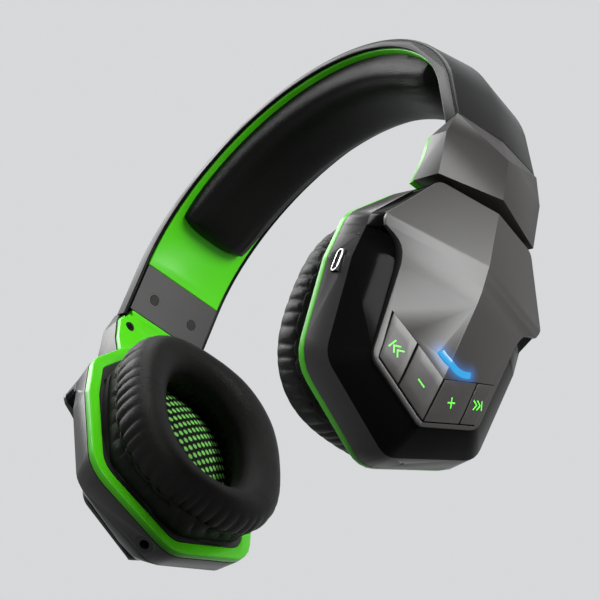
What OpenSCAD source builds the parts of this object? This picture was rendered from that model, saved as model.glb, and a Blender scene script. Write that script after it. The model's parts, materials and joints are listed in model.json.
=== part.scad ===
// Wireless over-ear headset: a sprung headband, two telescopic arms, and two
// tilting ear cups. Millimetres. Z is up, Y is forward, X is the wearer's right.
// The origin is midway between the ears, on the line through both cup centres.

/* [Headband] */
// Height of the liner's inner face above the ear line
band_top_z = 139.7; // [132:0.1:148]
// Half the distance between the liner's two lower ends
band_end_x = 77; // [73:0.5:81]
// Height of the liner's lower ends
band_end_z = 88.7; // [84:0.1:93]
// Splay of the band's straight ends from the vertical
band_splay = 16; // [12:1:20]
// Length of the flat crown handle that shapes the arch
crown_handle = 38; // [32:1:42]
// Length of the lower handle that shapes the arch
end_handle = 29; // [24:1:33]
// Half the width of the liner
liner_half_w = 17.6; // [16:0.1:19]
// Thickness of the liner and of the end plates
liner_t = 2; // [1.6:0.1:2.4]
// Side wall of the outer band shell
shell_side_t = 1.4; // [1.2:0.1:1.8]
// Roof of the outer band shell
shell_roof_t = 1.5; // [1.2:0.1:1.8]
// Height of the shell's ridge over the liner's inner face
shell_ridge_h = 8.4; // [8:0.1:10]
// Height of the shell's edges at the crown
shell_edge_crown = 3.6; // [3.4:0.1:5]
// Height of the shell's edges at the ends
shell_edge_end = 6.2; // [6:0.1:7]
// Length of the end plates below the liner
plate_len = 19.7; // [18:0.1:23]
// How far the shell reaches below the end plates
shell_overhang = 3.3; // [2.5:0.1:4]

/* [Band cushion] */
// Share of the arch, from the crown to the liner's end, that the cushion covers
cushion_reach = 0.76; // [0.7:0.01:0.8]
// Half the width of the cushion
cushion_half_w = 15.4; // [14:0.1:16.5]
// Depth of the cushion at its crown
cushion_depth = 12; // [9:0.5:13]

/* [Slider] */
// Travel of each arm out of the band
slide_travel = 15; // [12:0.5:16]
// Half the width of the slider's tongue
tongue_half_w = 14.5; // [13:0.5:15]
// Thickness of the slider's tongue
tongue_t = 1.5; // [1.3:0.1:1.6]
// Half the width of the steel strip
strip_half_w = 5; // [4:0.5:5.5]
// Thickness of the steel strip
strip_t = 1; // [0.8:0.1:1.1]
// How far the strip reaches above the liner's end
strip_reach = 7; // [5:0.5:8]

/* [Arm] */
// Half the width of the arm where it meets the band
arm_top_half_w = 19.3; // [18.8:0.1:20]
// Half the width of the arm over the cup
arm_half_w = 22.5; // [21:0.1:23.5]
// Wall of the arm shell
arm_wall = 1.6; // [1.4:0.1:2]
// Thickness of the slider's cover
cover_t = 2; // [1.6:0.1:2.4]
// Radius of the tilt pin
pin_r = 1.5; // [1.2:0.1:1.7]
// Radial running clearance of the tilt pin in the cup's block
pin_play = 0.05; // [0.03:0.01:0.08]
// Thickness of each ear of the yoke
ear_t = 3; // [2.5:0.1:3.4]

/* [Cup] */
// Distance from the middle of the head to each rim plane, along the ear line
cup_x = 58; // [56:0.5:62]
// Tilt of the cups, bottoms inwards
cup_tilt = 16; // [13:1:18]
// Half the width of the cup's top edge
top_half_w = 22.5; // [21:0.1:23.5]
// Height of the cup's top edge above its centre
top_h = 43.5; // [42.5:0.1:44]
// Half the width across the shoulders
shoulder_half_w = 38; // [37:0.1:39]
// Height of the shoulders
shoulder_h = 25; // [24:0.1:26]
// Half the width at the widest point
belly_half_w = 39.3; // [38.8:0.1:40.5]
// Height of the widest point
belly_h = 8; // [6:0.5:10]
// Half the width at the heels
heel_half_w = 35.5; // [34.5:0.1:36.5]
// Depth of the heels below the centre
heel_d = 27; // [25:0.5:28]
// Depth of the chin point below the centre
chin_d = 45; // [44:0.5:46]
// Thickness of the coloured rim trim
trim_t = 3; // [2.4:0.1:3.4]
// Width of the rim trim's ring
trim_w = 4.5; // [4:0.1:5]
// Height of the side wall's top edge above the rim plane
wall_h = 10.5; // [9.5:0.1:11.5]
// How far the side wall draws in by its top edge
wall_draft = 2.4; // [1.8:0.1:2.8]
// Wall thickness of the housing and the bezel
cup_wall = 2; // [1.7:0.1:2.2]
// Wall thickness of the outer panel
panel_wall = 1.8; // [1.5:0.1:2]
// Thickness of the panel's edge wall
panel_side_wall = 0.8; // [0.7:0.1:1]
// Width of the bezel's lip under the panel's edge
bezel_lip = 1.2; // [1:0.1:1.3]
// Height of the panel's lower edge above the rim plane
panel_h = 17.2; // [16.6:0.1:17.8]
// Height of the panel's ridge at its highest point
ridge_h = 29.5; // [27.5:0.5:31]

/* [Ear pad] */
// Half the width of the pad
pad_half_w = 35.4; // [34:0.1:36.8]
// Half the height of the pad
pad_half_h = 37.4; // [36:0.1:38.6]
// How far the pad sits above the cup's middle
pad_up = 2.2; // [1:0.1:3]
// Depth of the pad from back to face
pad_depth = 21.5; // [19:0.5:23]
// Half the width of the ear opening at its lip
opening_half_w = 18.5; // [17:0.5:20]
// Half the height of the ear opening at its lip
opening_half_h = 25; // [23.5:0.5:26.5]
// How far the mesh domes into the ear's space
mesh_rise = 6; // [4:0.5:7]
// Number of pleats round the pad
pleats = 26; // [12:1:32]
// Depth of the pleats
pleat_d = 0.7; // [0.3:0.1:1]

/* [Sound] */
// Radius of the loudspeaker's frame
driver_r = 21; // [19:0.5:22]
// Depth of the loudspeaker's frame
driver_d = 4.2; // [3.8:0.1:5]
// Radius of the loudspeaker's magnet
magnet_r = 9.5; // [8:0.5:11]

/* [Electronics] */
// Side of the square main board and of the battery's tray
board_side = 41; // [38:0.5:41]
// Width of the battery cell
battery_w = 32; // [28:1:36]
// Height of the battery cell, up the cup
battery_h = 26; // [22:1:30]
// Thickness of the battery cell
battery_t = 4.6; // [4:0.1:5]

/* [Controls] */
// Height of the key band's lower point above the chin of the panel
key_margin = 1.4; // [1.2:0.1:1.8]
// Width of the key band, up the panel
key_band = 14.7; // [13:0.1:15.5]
// Distance of the key band's upper corners from the panel's side
key_side_margin = 1.7; // [1.5:0.1:2.5]
// Distance of the split between the two rear keys from the middle
rear_split = 12; // [10:0.5:14]
// Distance of the split between the two front keys from the middle
front_split = 14.5; // [12:0.5:16]
// Gap round each key
key_gap = 0.3; // [0.2:0.05:0.4]
// How far the keys stand proud of the panel
key_proud = 0.5; // [0.2:0.1:0.8]
// Travel of each key
key_travel = 0.6; // [0.4:0.1:0.6]
// Radius of the light window's curve
light_r = 13.4; // [11:0.1:15]
// Width of the light window
light_w = 2; // [1.6:0.1:2.4]

/* [Sockets] */
// Radius of the 3.5 mm jack's bore
jack_r = 1.8; // [1.75:0.05:1.9]
// Radius of the jack socket's barrel
jack_barrel_r = 3.2; // [3:0.1:3.5]
// Length of the jack's bore
jack_len = 13; // [12:0.5:14]
// Distance of the jack from the chin point, along the wall
jack_along = 8; // [7:0.5:10]
// Width of the charging port's shell
usb_w = 7.8; // [7.4:0.1:8.2]
// Height of the charging port's shell
usb_h = 2.9; // [2.6:0.1:3.2]
// Height of the charging port on the cup
usb_y = 6.5; // [4:0.5:8]

/* [Hidden] */

LEFT = -1;
RIGHT = 1;
REAR = -1;
FRONT = 1;
fine = 48;          // sides of a round part
slack = 0.1;        // gap between fixed neighbours
gap = 0.3;          // gap beside a moving or soft neighbour
over = 1;           // how far a cutter runs past the face it opens
step_count = 4;     // straight pieces in each rounded corner
small_screw_r = 0.95;
small_head_r = 1.9;
small_head_h = 1.1;

gunmetal = [0.20, 0.19, 0.19];
black_gloss = [0.03, 0.03, 0.03];
neon = [0.38, 0.90, 0.22];
leatherette = [0.11, 0.10, 0.10];
steel = [0.70, 0.70, 0.72];
board_green = [0.06, 0.30, 0.16];

// ---------------------------------------------------------------- shared maths

function unit(v) = v / norm(v);

// Points of a closed outline with each corner rounded to its own radius.
function rounded(corners, radii) =
    let (n = len(corners))
    [for (i = [0:n - 1])
        let (here = corners[i],
             back = unit(corners[(i + n - 1) % n] - here),
             ahead = unit(corners[(i + 1) % n] - here))
        each norm(back + ahead) < 0.04
            ? [for (k = [0:step_count])
                let (s = 2 * k / step_count - 1)
                here + (s < 0 ? -s * back : s * ahead) * 0.8]
            : round_corner(here, back, ahead, radii[i])];

function round_corner(here, back, ahead, r) =
    let (half = acos(back * ahead) / 2,
         centre = here + unit(back + ahead) * r / sin(half),
         from = here + back * r / tan(half) - centre,
         to = here + ahead * r / tan(half) - centre,
         turn = 180 - 2 * half)
    [for (k = [0:step_count])
        let (s = k / step_count)
        centre + (sin((1 - s) * turn) * from + sin(s * turn) * to) / sin(turn)];

// Each point drawn towards the centre by its own distance.
function drawn_in(corners, distances) =
    [for (i = [0:len(corners) - 1])
        corners[i] * (1 - distances[i] / norm(corners[i]))];

// A clockwise outline whose edges move inwards, each corner by its own distance.
function inset(corners, distances) =
    let (n = len(corners))
    [for (i = [0:n - 1])
        let (before = unit(corners[i] - corners[(i + n - 1) % n]),
             after = unit(corners[(i + 1) % n] - corners[i]),
             side_a = [before.y, -before.x],
             side_b = [after.y, -after.x])
        corners[i] + (side_a + side_b) / (1 + side_a * side_b) * distances[i]];

function even(value, count) = [for (i = [1:count]) value];

// A half outline, from top to heel, made whole with the chin between its halves.
function whole(half_list, chin, flip) =
    concat(half_list, [chin],
           [for (i = [len(half_list) - 1:-1:0]) flip ? [-half_list[i].x, half_list[i].y] : half_list[i]]);

// Faces with their points in the opposite order.
function turned(faces) = [for (f = faces) [for (k = [len(f) - 1:-1:0]) f[k]]];

// A closed solid through rings of equal length. Caps may be given as faces of one ring.
module loft(rings, caps = []) {
    count = len(rings[0]);
    layers = len(rings);
    points = [for (ring = rings) for (p = ring) p];
    sides = [for (j = [0:layers - 2]) for (i = [0:count - 1])
        let (k = (i + 1) % count, a = j * count + i, b = j * count + k)
        each [[a, b, a + count], [b, b + count, a + count]]];
    cap = len(caps) == 0 ? [[for (i = [0:count - 1]) i]] : caps;
    last = [for (face = cap) [for (k = face) (layers - 1) * count + k]];
    polyhedron(points, concat(turned(cap), sides, last), convexity = 6);
}

// A closed ring of sections: the last section joins the first.
module ring_loft(sections) {
    count = len(sections[0]);
    turns = len(sections);
    points = [for (s = sections) for (p = s) p];
    faces = [for (j = [0:turns - 1]) for (i = [0:count - 1])
        let (m = (j + 1) % turns, k = (i + 1) % count)
        each [[j * count + i, m * count + i, j * count + k],
              [j * count + k, m * count + i, m * count + k]]];
    polyhedron(points, faces, convexity = 6);
}

// ---------------------------------------------------------------- band geometry

// The arch is one cubic curve on each side, then a straight end. Position u runs
// from 0 at the crown to 1 at the liner's end, and on to 2 at the plate's end.
end_down = [sin(band_splay), -cos(band_splay)];
arch = [[0, band_top_z], [crown_handle, band_top_z],
        [band_end_x, band_end_z] - end_down * end_handle, [band_end_x, band_end_z]];

function arch_point(t) =
    pow(1 - t, 3) * arch[0] + 3 * pow(1 - t, 2) * t * arch[1]
    + 3 * (1 - t) * t * t * arch[2] + pow(t, 3) * arch[3];
function arch_heading(t) =
    unit(pow(1 - t, 2) * (arch[1] - arch[0]) + 2 * (1 - t) * t * (arch[2] - arch[1])
         + t * t * (arch[3] - arch[2]));
function band_point(u) =
    let (v = abs(u), p = v <= 1 ? arch_point(v) : arch[3] + end_down * (v - 1) * plate_len)
    [sign(u) * p.x, p.y];
function band_out(u) =
    let (v = abs(u), d = v <= 1 ? arch_heading(v) : end_down, s = u < 0 ? -1 : 1)
    [-d.y * s, d.x];
// A point of the band: u along it, y across it, h out from the liner's inner face.
function band_at(u, y, h) =
    let (p = band_point(u), out = band_out(u))
    [p.x + out.x * h, y, p.y + out.y * h];

function stations(from, to, count) = [for (i = [0:count]) from + (to - from) * i / count];
arch_stations = stations(-1, 1, 44);
shell_end_u = 2 + shell_overhang / plate_len;
edge_h = function (u) shell_edge_crown
    + (shell_edge_end - shell_edge_crown) * pow(min(1, abs(u)), 2);
shell_half_w = liner_half_w + slack + shell_side_t;
shell_lip = 0.4;    // the shell's lip stands back from the liner's face

function shell_section(u) =
    let (w = shell_half_w, wi = w - shell_side_t, e = edge_h(u), r = shell_ridge_h,
         ei = e - shell_roof_t * 0.9, ri = r - shell_roof_t)
    [[-w, shell_lip], [-w, e - 0.8], [-w + 0.8, e], [0, r], [w - 0.8, e], [w, e - 0.8], [w, shell_lip],
     [wi, shell_lip], [wi, ei], [0, ri], [-wi, ei], [-wi, shell_lip]];

function band_rings_each(us) = [for (u = us) [for (q = shell_section(u)) band_at(u, q.x, q.y)]];
function band_rings(us, section) = [for (u = us) [for (q = section) band_at(u, q.x, q.y)]];

// A box section between two positions along the band.
function strip_rings(us, half_w, low, high) =
    band_rings(us, [[-half_w, low], [-half_w, high], [half_w, high], [half_w, low]]);

// Places children at the liner's end: x out, y forward, z up along the band's end.
module at_end(side) {
    mirror([side == LEFT ? 1 : 0, 0, 0])
        translate([band_end_x, 0, band_end_z])
            rotate([0, -band_splay, 0])
                children();
}

// ---------------------------------------------------------------- cup geometry

// Places children in a cup: x forward, y up the cup, z outwards from the rim plane.
module at_cup(side) {
    mirror([side == LEFT ? 1 : 0, 0, 0])
        translate([cup_x, 0, 0])
            rotate([0, cup_tilt, 0])
                rotate([90, 0, 90])
                    children();
}

// Corners of one half, top to heel: top, shoulder, three down the side, heel.
notch_h = shoulder_h - 5;
throat_h = shoulder_h - 9.5;
side_slope = (belly_half_w - shoulder_half_w) / (shoulder_h - belly_h);
rim_half = [[top_half_w, top_h], [shoulder_half_w, shoulder_h],
            [shoulder_half_w + side_slope * (shoulder_h - notch_h), notch_h],
            [shoulder_half_w + side_slope * (shoulder_h - throat_h), throat_h],
            [belly_half_w, belly_h], [heel_half_w, -heel_d]];
rim_corners = whole(rim_half, [0, -chin_d], true);
rim_radii = whole([8, 10, 5, 5, 8, 14], 12, false);
top_draft = 0.3;
wall_drafts = whole([top_draft, wall_draft * 0.8, wall_draft, wall_draft, wall_draft, wall_draft],
                    wall_draft, false);
wall_corners = inset(rim_corners, wall_drafts);
wall_radii = whole([6, 5, 4, 4, 6, 8], 8, false);

// The panel's outline runs full width at the shoulders, then steps in at a notch.
panel_top_h = top_h + 0.6;
panel_chin_d = chin_d - 12.4;
panel_heel = [heel_half_w - 12.2, -heel_d + 6.1];
panel_half = [[top_half_w - 1, panel_top_h], [shoulder_half_w - 2.2, shoulder_h - 2.5],
              [shoulder_half_w - 3.5, notch_h - 0.7], [shoulder_half_w - 10.8, throat_h + 0.7],
              [belly_half_w - 13.5, belly_h + 1.5], panel_heel];
panel_corners = whole(panel_half, [0, -panel_chin_d], true);
panel_radii = whole([4, 3, 0.8, 8, 6, 5], 4, false);
// Heights of the panel's lower edge at each corner, rising towards the chin.
chin_rise = 3.4;
panel_levels = whole([0.4, 0, 0, 0.2, 0.5, 0.9], chin_rise, false);

function ring_in(corners, radii, d) =
    rounded(inset(corners, even(d, len(corners))), [for (r = radii) max(0.5, r - d)]);

rim_outline = rounded(rim_corners, rim_radii);
wall_outline = rounded(wall_corners, wall_radii);
panel_outline = rounded(panel_corners, panel_radii);
trim_half = trim_t / 2;

// A wall between two levels of an outline, each level [outline, inner outline, height list].
module wall_ring(low, high) {
    n = len(low[0]);
    ring_loft([for (i = [0:n - 1])
        [[low[0][i].x, low[0][i].y, low[2][i]], [high[0][i].x, high[0][i].y, high[2][i]],
         [high[1][i].x, high[1][i].y, high[2][i]], [low[1][i].x, low[1][i].y, low[2][i]]]]);
}
wall_in = ring_in(wall_corners, wall_radii, cup_wall);
rim_in = ring_in(rim_corners, rim_radii, cup_wall);
panel_in = ring_in(panel_corners, panel_radii, bezel_lip);
corner_points = step_count + 1;
panel_low = [for (i = [0:len(panel_outline) - 1]) panel_h + panel_levels[floor(i / corner_points)]];

// The ridged outer surface: flat facets fall from a crowned ridge to the outline's edge.
panel_edge = 1.1;   // height of the panel's edge above its lower edge
ridge_line = [[-panel_chin_d, panel_h + chin_rise + panel_edge + 0.3], [-panel_chin_d + 16, ridge_h - 3.9],
              [0, ridge_h - 0.8], [shoulder_h - 11, ridge_h], [shoulder_h, ridge_h - 0.8],
              [panel_top_h, ridge_h - 5], [panel_top_h + 5, ridge_h - 6]];
edge_line = [[-panel_chin_d, panel_h + chin_rise + panel_edge], [panel_heel.y, panel_h + 0.9 + panel_edge],
             [shoulder_h, panel_h + panel_edge], [panel_top_h + 5, panel_h + 0.4 + panel_edge]];
// Half the width of the form that the facets span, at each height.
span_line = [[-panel_chin_d, 0.1], [panel_heel.y, panel_heel.x], [-8, panel_heel.x + 5],
             [shoulder_h - 2.5, shoulder_half_w - 2.2], [panel_top_h, top_half_w - 1]];
function dome_h(x, y) =
    let (share = min(1, abs(x) / max(0.1, lookup(y, span_line))))
    lookup(y, ridge_line) * (1 - share) + lookup(y, edge_line) * share;

// Faces of one skin of the panel: its side, its top rows and its upper end.
function skin_faces(n, at) =
    let (half = (n - 1) / 2, mid = at + 2 * n)
    concat(
        [for (i = [0:n - 1]) let (k = (i + 1) % n) each [[at + i, at + k, at + n + i], [at + k, at + n + k, at + n + i]]],
        [for (i = [0:half - 1]) [at + n + i, at + n + i + 1, mid + i]],
        [for (i = [0:half - 2]) [at + n + i + 1, mid + i + 1, mid + i]],
        [for (i = [0:half - 1]) [at + 2 * n - 1 - i, mid + i, at + 2 * n - 2 - i]],
        [for (i = [0:half - 2]) [at + 2 * n - 2 - i, mid + i, mid + i + 1]],
        [[at + n, mid, at + 2 * n - 1]]);
function skin_points(outline, low, drop) =
    let (n = len(outline))
    concat([for (i = [0:n - 1]) [outline[i].x, outline[i].y, low[i]]],
           [for (i = [0:n - 1]) [outline[i].x, outline[i].y, max(dome_h(outline[i].x, outline[i].y) - drop, low[i] + gap)]],
           [for (i = [0:(n - 1) / 2 - 1]) [0, outline[i].y, max(dome_h(0, outline[i].y) - drop, low[i] + gap)]]);
module panel_shell() {
    n = len(panel_outline);
    inner = ring_in(panel_corners, panel_radii, panel_side_wall);
    low = [for (h = panel_low) h + slack];
    outer_points = skin_points(panel_outline, low, 0);
    at = len(outer_points);
    rim_strip = [for (i = [0:n - 1]) let (k = (i + 1) % n) each [[i, at + i, k], [k, at + i, at + k]]];
    polyhedron(concat(outer_points, skin_points(inner, low, panel_wall * 1.1)),
               concat(skin_faces(n, 0), turned(skin_faces(n, at)), rim_strip), convexity = 8);
}

// A solid between two grids of points with the same rows and columns.
module slab(top, bottom) {
    rows = len(top);
    cols = len(top[0]);
    at = rows * cols;
    cells = [for (r = [0:rows - 2]) for (c = [0:cols - 2]) r * cols + c];
    edge = concat([for (c = [0:cols - 1]) c], [for (r = [1:rows - 1]) r * cols + cols - 1],
                  [for (c = [cols - 2:-1:0]) (rows - 1) * cols + c], [for (r = [rows - 2:-1:1]) r * cols]);
    m = len(edge);
    polyhedron(concat([for (row = top) for (p = row) p], [for (row = bottom) for (p = row) p]),
               concat([for (k = cells) each [[k, k + cols, k + 1], [k + 1, k + cols, k + cols + 1]]],
                      [for (k = cells) each [[at + k, at + k + 1, at + k + cols], [at + k + 1, at + k + cols + 1, at + k + cols]]],
                      [for (i = [0:m - 1]) let (a = edge[i], b = edge[(i + 1) % m]) each [[a, b, at + a], [b, at + b, at + a]]]),
               convexity = 4);
}

// ---------------------------------------------------------------- arm geometry

// Side profile of the slider's cover: inner face from the band down to the cup.
plate_foot = [band_end_x, band_end_z] + end_down * plate_len;
end_out = [cos(band_splay), sin(band_splay)];
cup_up = [sin(cup_tilt), cos(cup_tilt)];
cup_out = [cos(cup_tilt), -sin(cup_tilt)];
function cup_xz(n, b) = [cup_x, 0] + cup_out * n + cup_up * b;
arm_clear = 2.6;    // gap between the arm and the cup's top edge
arm_foot_in = cup_xz(3.5, top_h + arm_clear);
arm_foot_out = cup_xz(panel_h + 0.6, top_h + arm_clear + 0.4);
arm_foot_ridge = cup_xz(ridge_h - 5, top_h + arm_clear + 3.2);
cover_line = [plate_foot + end_down * gap, plate_foot + [-2.8, -10], plate_foot + [-4.6, -18.5], arm_foot_in];
shell_foot = plate_foot + end_down * (shell_overhang + gap);
arm_head_edge = shell_foot + end_out * (shell_edge_end - 0.1);
arm_head_ridge = shell_foot + end_out * (shell_ridge_h - 0.1);
arm_head_in = shell_foot + end_out * (cover_t + gap);
arm_mid_z = plate_foot.y - 12;

function outwards(line, d) = [for (p = line) [p.x + d, p.y]];
// Back face of the slider's cover, moved out by d: thick at the tongue, then even.
function cover_back(d) =
    concat([for (k = [0, 3]) cover_line[0] + end_out * (liner_t + tongue_t + d) + end_down * k],
           [for (k = [1:3]) cover_line[k] + [cover_t + d, 0]]);

// The arm's outer form, shrunk by d on every side.
module arm_form(d) {
    wt = arm_top_half_w - d;
    w = arm_half_w - d;
    back = outwards(cover_line, cover_t + slack);
    cloud = [for (side = [-1, 1])
        each [[arm_head_in.x + d * 0.3, side * wt, arm_head_in.y - d],
              [arm_head_edge.x - d, side * wt, arm_head_edge.y - d],
              [arm_foot_out.x + 1 - d, side * w, arm_mid_z],
              [arm_foot_out.x - d, side * w, arm_foot_out.y + d],
              [back[1].x, side * w, back[1].y],
              [back[3].x, side * w, back[3].y + d]]];
    spine = [[arm_head_ridge.x - d, 0, arm_head_ridge.y - d],
             [arm_foot_ridge.x + 0.2 - d, 0, arm_mid_z],
             [arm_foot_ridge.x - d, 0, arm_foot_ridge.y + d]];
    points = concat(cloud, spine);
    hull() polyhedron(points, [[for (i = [0:len(points) - 1]) i]]);
}

// The zone on the head's side of the slider cover's back face.
module inner_zone(extra) {
    line = cover_back(extra);
    rotate([90, 0, 0])
        linear_extrude(2 * arm_half_w + 10, center = true)
            polygon(concat([line[0] + [0, 20]], line,
                           [line[4] + [-2, -20], line[4] + [-40, -20], line[0] + [-40, 20]]));
}

pivot_b = top_h - 6;
pivot_n = 9.5;
pivot = cup_xz(pivot_n, pivot_b);
ear_y = 10.5;       // inner face of each ear from the middle
yoke_t = 2.4;
yoke_foot_z = arm_foot_in.y + 2.2;
yoke_head_z = plate_foot.y - 11;
boss_r = 2.6;
arm_screw_y = arm_half_w - 5.1;
arm_screw_at = [[REAR * arm_screw_y, plate_foot.y - 10.3], [FRONT * arm_screw_y, plate_foot.y - 17]];

function cover_x(z) =
    z > cover_line[1].y
        ? lookup(z, [[cover_line[1].y, cover_line[1].x], [cover_line[0].y, cover_line[0].x]])
        : lookup(z, [[cover_line[3].y, cover_line[3].x], [cover_line[2].y, cover_line[2].x],
                     [cover_line[1].y, cover_line[1].x]]);

yoke_x = cover_x(yoke_head_z) + cover_t + slack;

module on_side(side) {
    mirror([side == LEFT ? 1 : 0, 0, 0]) children();
}

// ---------------------------------------------------------------- headband

module band_shell() {
    us = concat([-shell_end_u, -2], arch_stations, [2, shell_end_u]);
    color(gunmetal)
        loft(band_rings_each(us),
             [[0, 1, 10, 11], [1, 2, 10], [2, 3, 9, 10], [3, 4, 8, 9], [4, 5, 8], [5, 6, 7, 8]]);
}

module band_liner() {
    color(neon) loft(strip_rings(arch_stations, liner_half_w, 0, liner_t));
}

// Crown, rolled edges and closed, drawn-in ends.
function cushion_section(fill) =
    let (w = cushion_half_w - 1.6 * (1 - fill), d = cushion_depth * fill)
    [for (i = [0:14])
        let (a = 180 * i / 14, c = cos(a))
        [-w * sign(c) * pow(abs(c), 0.62), -gap - 0.4 - (d - 0.4) * pow(sin(a), 0.72)]];
module band_cushion() {
    us = stations(-cushion_reach, cushion_reach, 40);
    color(leatherette)
        loft([for (u = us)
            let (edge = 1 - pow(abs(u) / cushion_reach, 9), fill = 0.42 + 0.58 * max(0, edge))
            [for (q = concat([[-cushion_half_w + 2.2, -gap], [cushion_half_w - 2.2, -gap]],
                             [for (k = [14:-1:0]) cushion_section(fill)[k]]))
                band_at(u, q.x, q.y)]]);
}

spring_low = liner_t + 0.15;
spring_t = 0.8;
module spring_band() {
    color(steel) loft(strip_rings(stations(-0.8, 0.8, 36), 7, spring_low, spring_low + spring_t));
}

cable_r = 0.9;
cable_y = 11;
module cross_cable() {
    section = [for (a = [0:45:315]) [cable_y + cable_r * cos(a), liner_t + 0.2 + cable_r - cable_r * sin(a)]];
    color([0.5, 0.1, 0.1]) loft(band_rings(stations(-0.8, 0.8, 36), section));
}

plate_screw_y = 9.4;
plate_screw_z = -0.58 * plate_len;
module end_plate(side) {
    color(gunmetal) at_end(side)
        difference() {
            translate([0, -liner_half_w, -plate_len]) cube([liner_t, 2 * liner_half_w, plate_len - slack]);
            for (y = [-1, 1]) translate([0, y * plate_screw_y, plate_screw_z]) rotate([0, 90, 0]) {
                translate([0, 0, -over]) cylinder(h = liner_t + 2 * over, r = small_screw_r + slack, $fn = fine);
                translate([0, 0, -over]) cylinder(h = small_head_h + over, r = small_head_r + slack, $fn = fine);
            }
        }
}

// The end plates' screws run beside the tongue into the shell.
module end_plate_screws() {
    color(steel) for (side = [LEFT, RIGHT]) at_end(side)
        for (y = [-1, 1]) translate([0, y * plate_screw_y, plate_screw_z]) rotate([0, 90, 0]) {
            difference() {
                cylinder(h = small_head_h, r = small_head_r, $fn = fine);
                for (a = [0, 90]) rotate(a) translate([-1.2, -0.22, -over]) cube([2.4, 0.44, over + 0.5]);
            }
            cylinder(h = liner_t, r = small_screw_r, $fn = fine);
        }
}

tongue_x = liner_t + gap;
strip_x = tongue_x + tongue_t;
guide_t = 0.6;
module slide_guide(side) {
    rail_w = 3;
    high = strip_x + strip_t + 0.2;
    color(black_gloss) at_end(side)
        translate([0, 0, -plate_len + 2.5]) {
            for (y = [-1, 1])
                translate([strip_x + gap, y > 0 ? strip_half_w + gap : -strip_half_w - gap - rail_w, 0])
                    cube([high + guide_t - strip_x - gap, rail_w, plate_len - 4.5]);
            translate([high, -strip_half_w - gap - slack, 0])
                cube([guide_t, 2 * (strip_half_w + gap + slack), plate_len - 4.5]);
        }
}

// ---------------------------------------------------------------- arm

module arm_shell(side) {
    color(gunmetal) on_side(side)
        difference() {
            arm_form(0);
            difference() {
                arm_form(arm_wall);
                for (at = arm_screw_at) arm_boss(at, boss_r, 16);
            }
            inner_zone(slack);
            for (at = arm_screw_at) arm_boss(at, small_screw_r, 8);
            translate([yoke_x - 12, -ear_y - ear_t - gap, arm_foot_in.y - 10])
                cube([16, 2 * (ear_y + ear_t + gap), 14]);
            at_end(RIGHT) translate([0, -tongue_half_w - gap, -plate_len - 12])
                cube([strip_x + strip_t + gap, 2 * (tongue_half_w + gap), 14]);
        }
}

module arm_boss(at, r, length) {
    translate([cover_x(at.y) - 1, at.x, at.y]) rotate([0, 90, 0]) cylinder(h = length, r = r, $fn = fine);
}

// Front outline of the slider's cover, with its chamfered flanks.
module cover_outline(d) {
    top = plate_foot.y + 1;
    neck = shell_foot.y - gap;
    half_points = [[liner_half_w - d, top], [liner_half_w - d, neck], [arm_top_half_w - 0.2 - d, neck],
                   [arm_half_w - 0.4 - d, top - 11], [arm_half_w - 0.4 - d, arm_foot_in.y - 1]];
    polygon(concat(half_points, [for (k = [4:-1:0]) [-half_points[k].x, half_points[k].y]]));
}

module slider(side) {
    back = cover_back(0);
    color(neon) on_side(side) difference() {
        union() {
            intersection() {
                rotate([90, 0, 0]) linear_extrude(60, center = true)
                    polygon(concat(cover_line, [for (i = [4:-1:0]) back[i]]));
                union() {
                    rotate([90, 0, 90]) translate([0, 0, 60]) linear_extrude(50) cover_outline(1.2);
                    rotate([90, 0, 90]) translate([0, 0, 60]) linear_extrude(50) intersection() {
                        cover_outline(0);
                        translate([-30, arm_foot_in.y - 2]) square([60, 22]);
                    }
                }
            }
            at_end(RIGHT) translate([tongue_x, -tongue_half_w, -plate_len - 3.4])
                cube([tongue_t, 2 * tongue_half_w, plate_len + 0.6]);
        }
        for (at = arm_screw_at) {
            arm_boss(at, small_screw_r + slack, 7);
            translate([cover_x(at.y) - 3, at.x, at.y]) rotate([0, 90, 0])
                cylinder(h = 3 + small_head_h, r = small_head_r + slack, $fn = fine);
        }
    }
}

module arm_screws(side) {
    color(steel) on_side(side)
        for (at = arm_screw_at) translate([cover_x(at.y), at.x, at.y]) rotate([0, 90, 0]) {
            difference() {
                translate([0, 0, 0.1]) cylinder(h = small_head_h - 0.1, r = small_head_r, $fn = fine);
                for (a = [0, 90]) rotate(a) translate([-1.2, -0.22, -over]) cube([2.4, 0.44, over + 0.6]);
            }
            translate([0, 0, 0.7]) cylinder(h = 6, r = small_screw_r, $fn = fine);
        }
}

// The steel strip lies on the tongue's back, bends with nothing, and ends in the arm.
module slider_strip(side) {
    color(steel) at_end(side) difference() {
        translate([strip_x, -strip_half_w, -plate_len - 5])
            cube([strip_t, 2 * strip_half_w, plate_len + 5 + strip_reach]);
        for (k = [0:5]) translate([strip_x - over, 0, -plate_len + 3 + 3 * k]) rotate([0, 90, 0])
            cylinder(h = strip_t + 2 * over, r = 0.8, $fn = fine);
    }
}

// The yoke: a plate inside the arm with two ears that carry the tilt pin.
module yoke(side) {
    color(steel) on_side(side) {
        translate([yoke_x, -ear_y - ear_t, yoke_foot_z])
            cube([yoke_t, 2 * (ear_y + ear_t), yoke_head_z - yoke_foot_z]);
        for (y = [-ear_y - ear_t, ear_y]) translate([0, y + ear_t, 0]) rotate([90, 0, 0])
            linear_extrude(ear_t) difference() {
                union() {
                    translate(pivot) circle(r = 3.6, $fn = fine);
                    polygon([pivot + [-3.6, 0], pivot + [3.4, 0], [yoke_x + yoke_t, yoke_foot_z + 3],
                             [yoke_x, yoke_foot_z + 3]]);
                }
                translate(pivot) circle(r = pin_r, $fn = fine);
            }
    }
}

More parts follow.
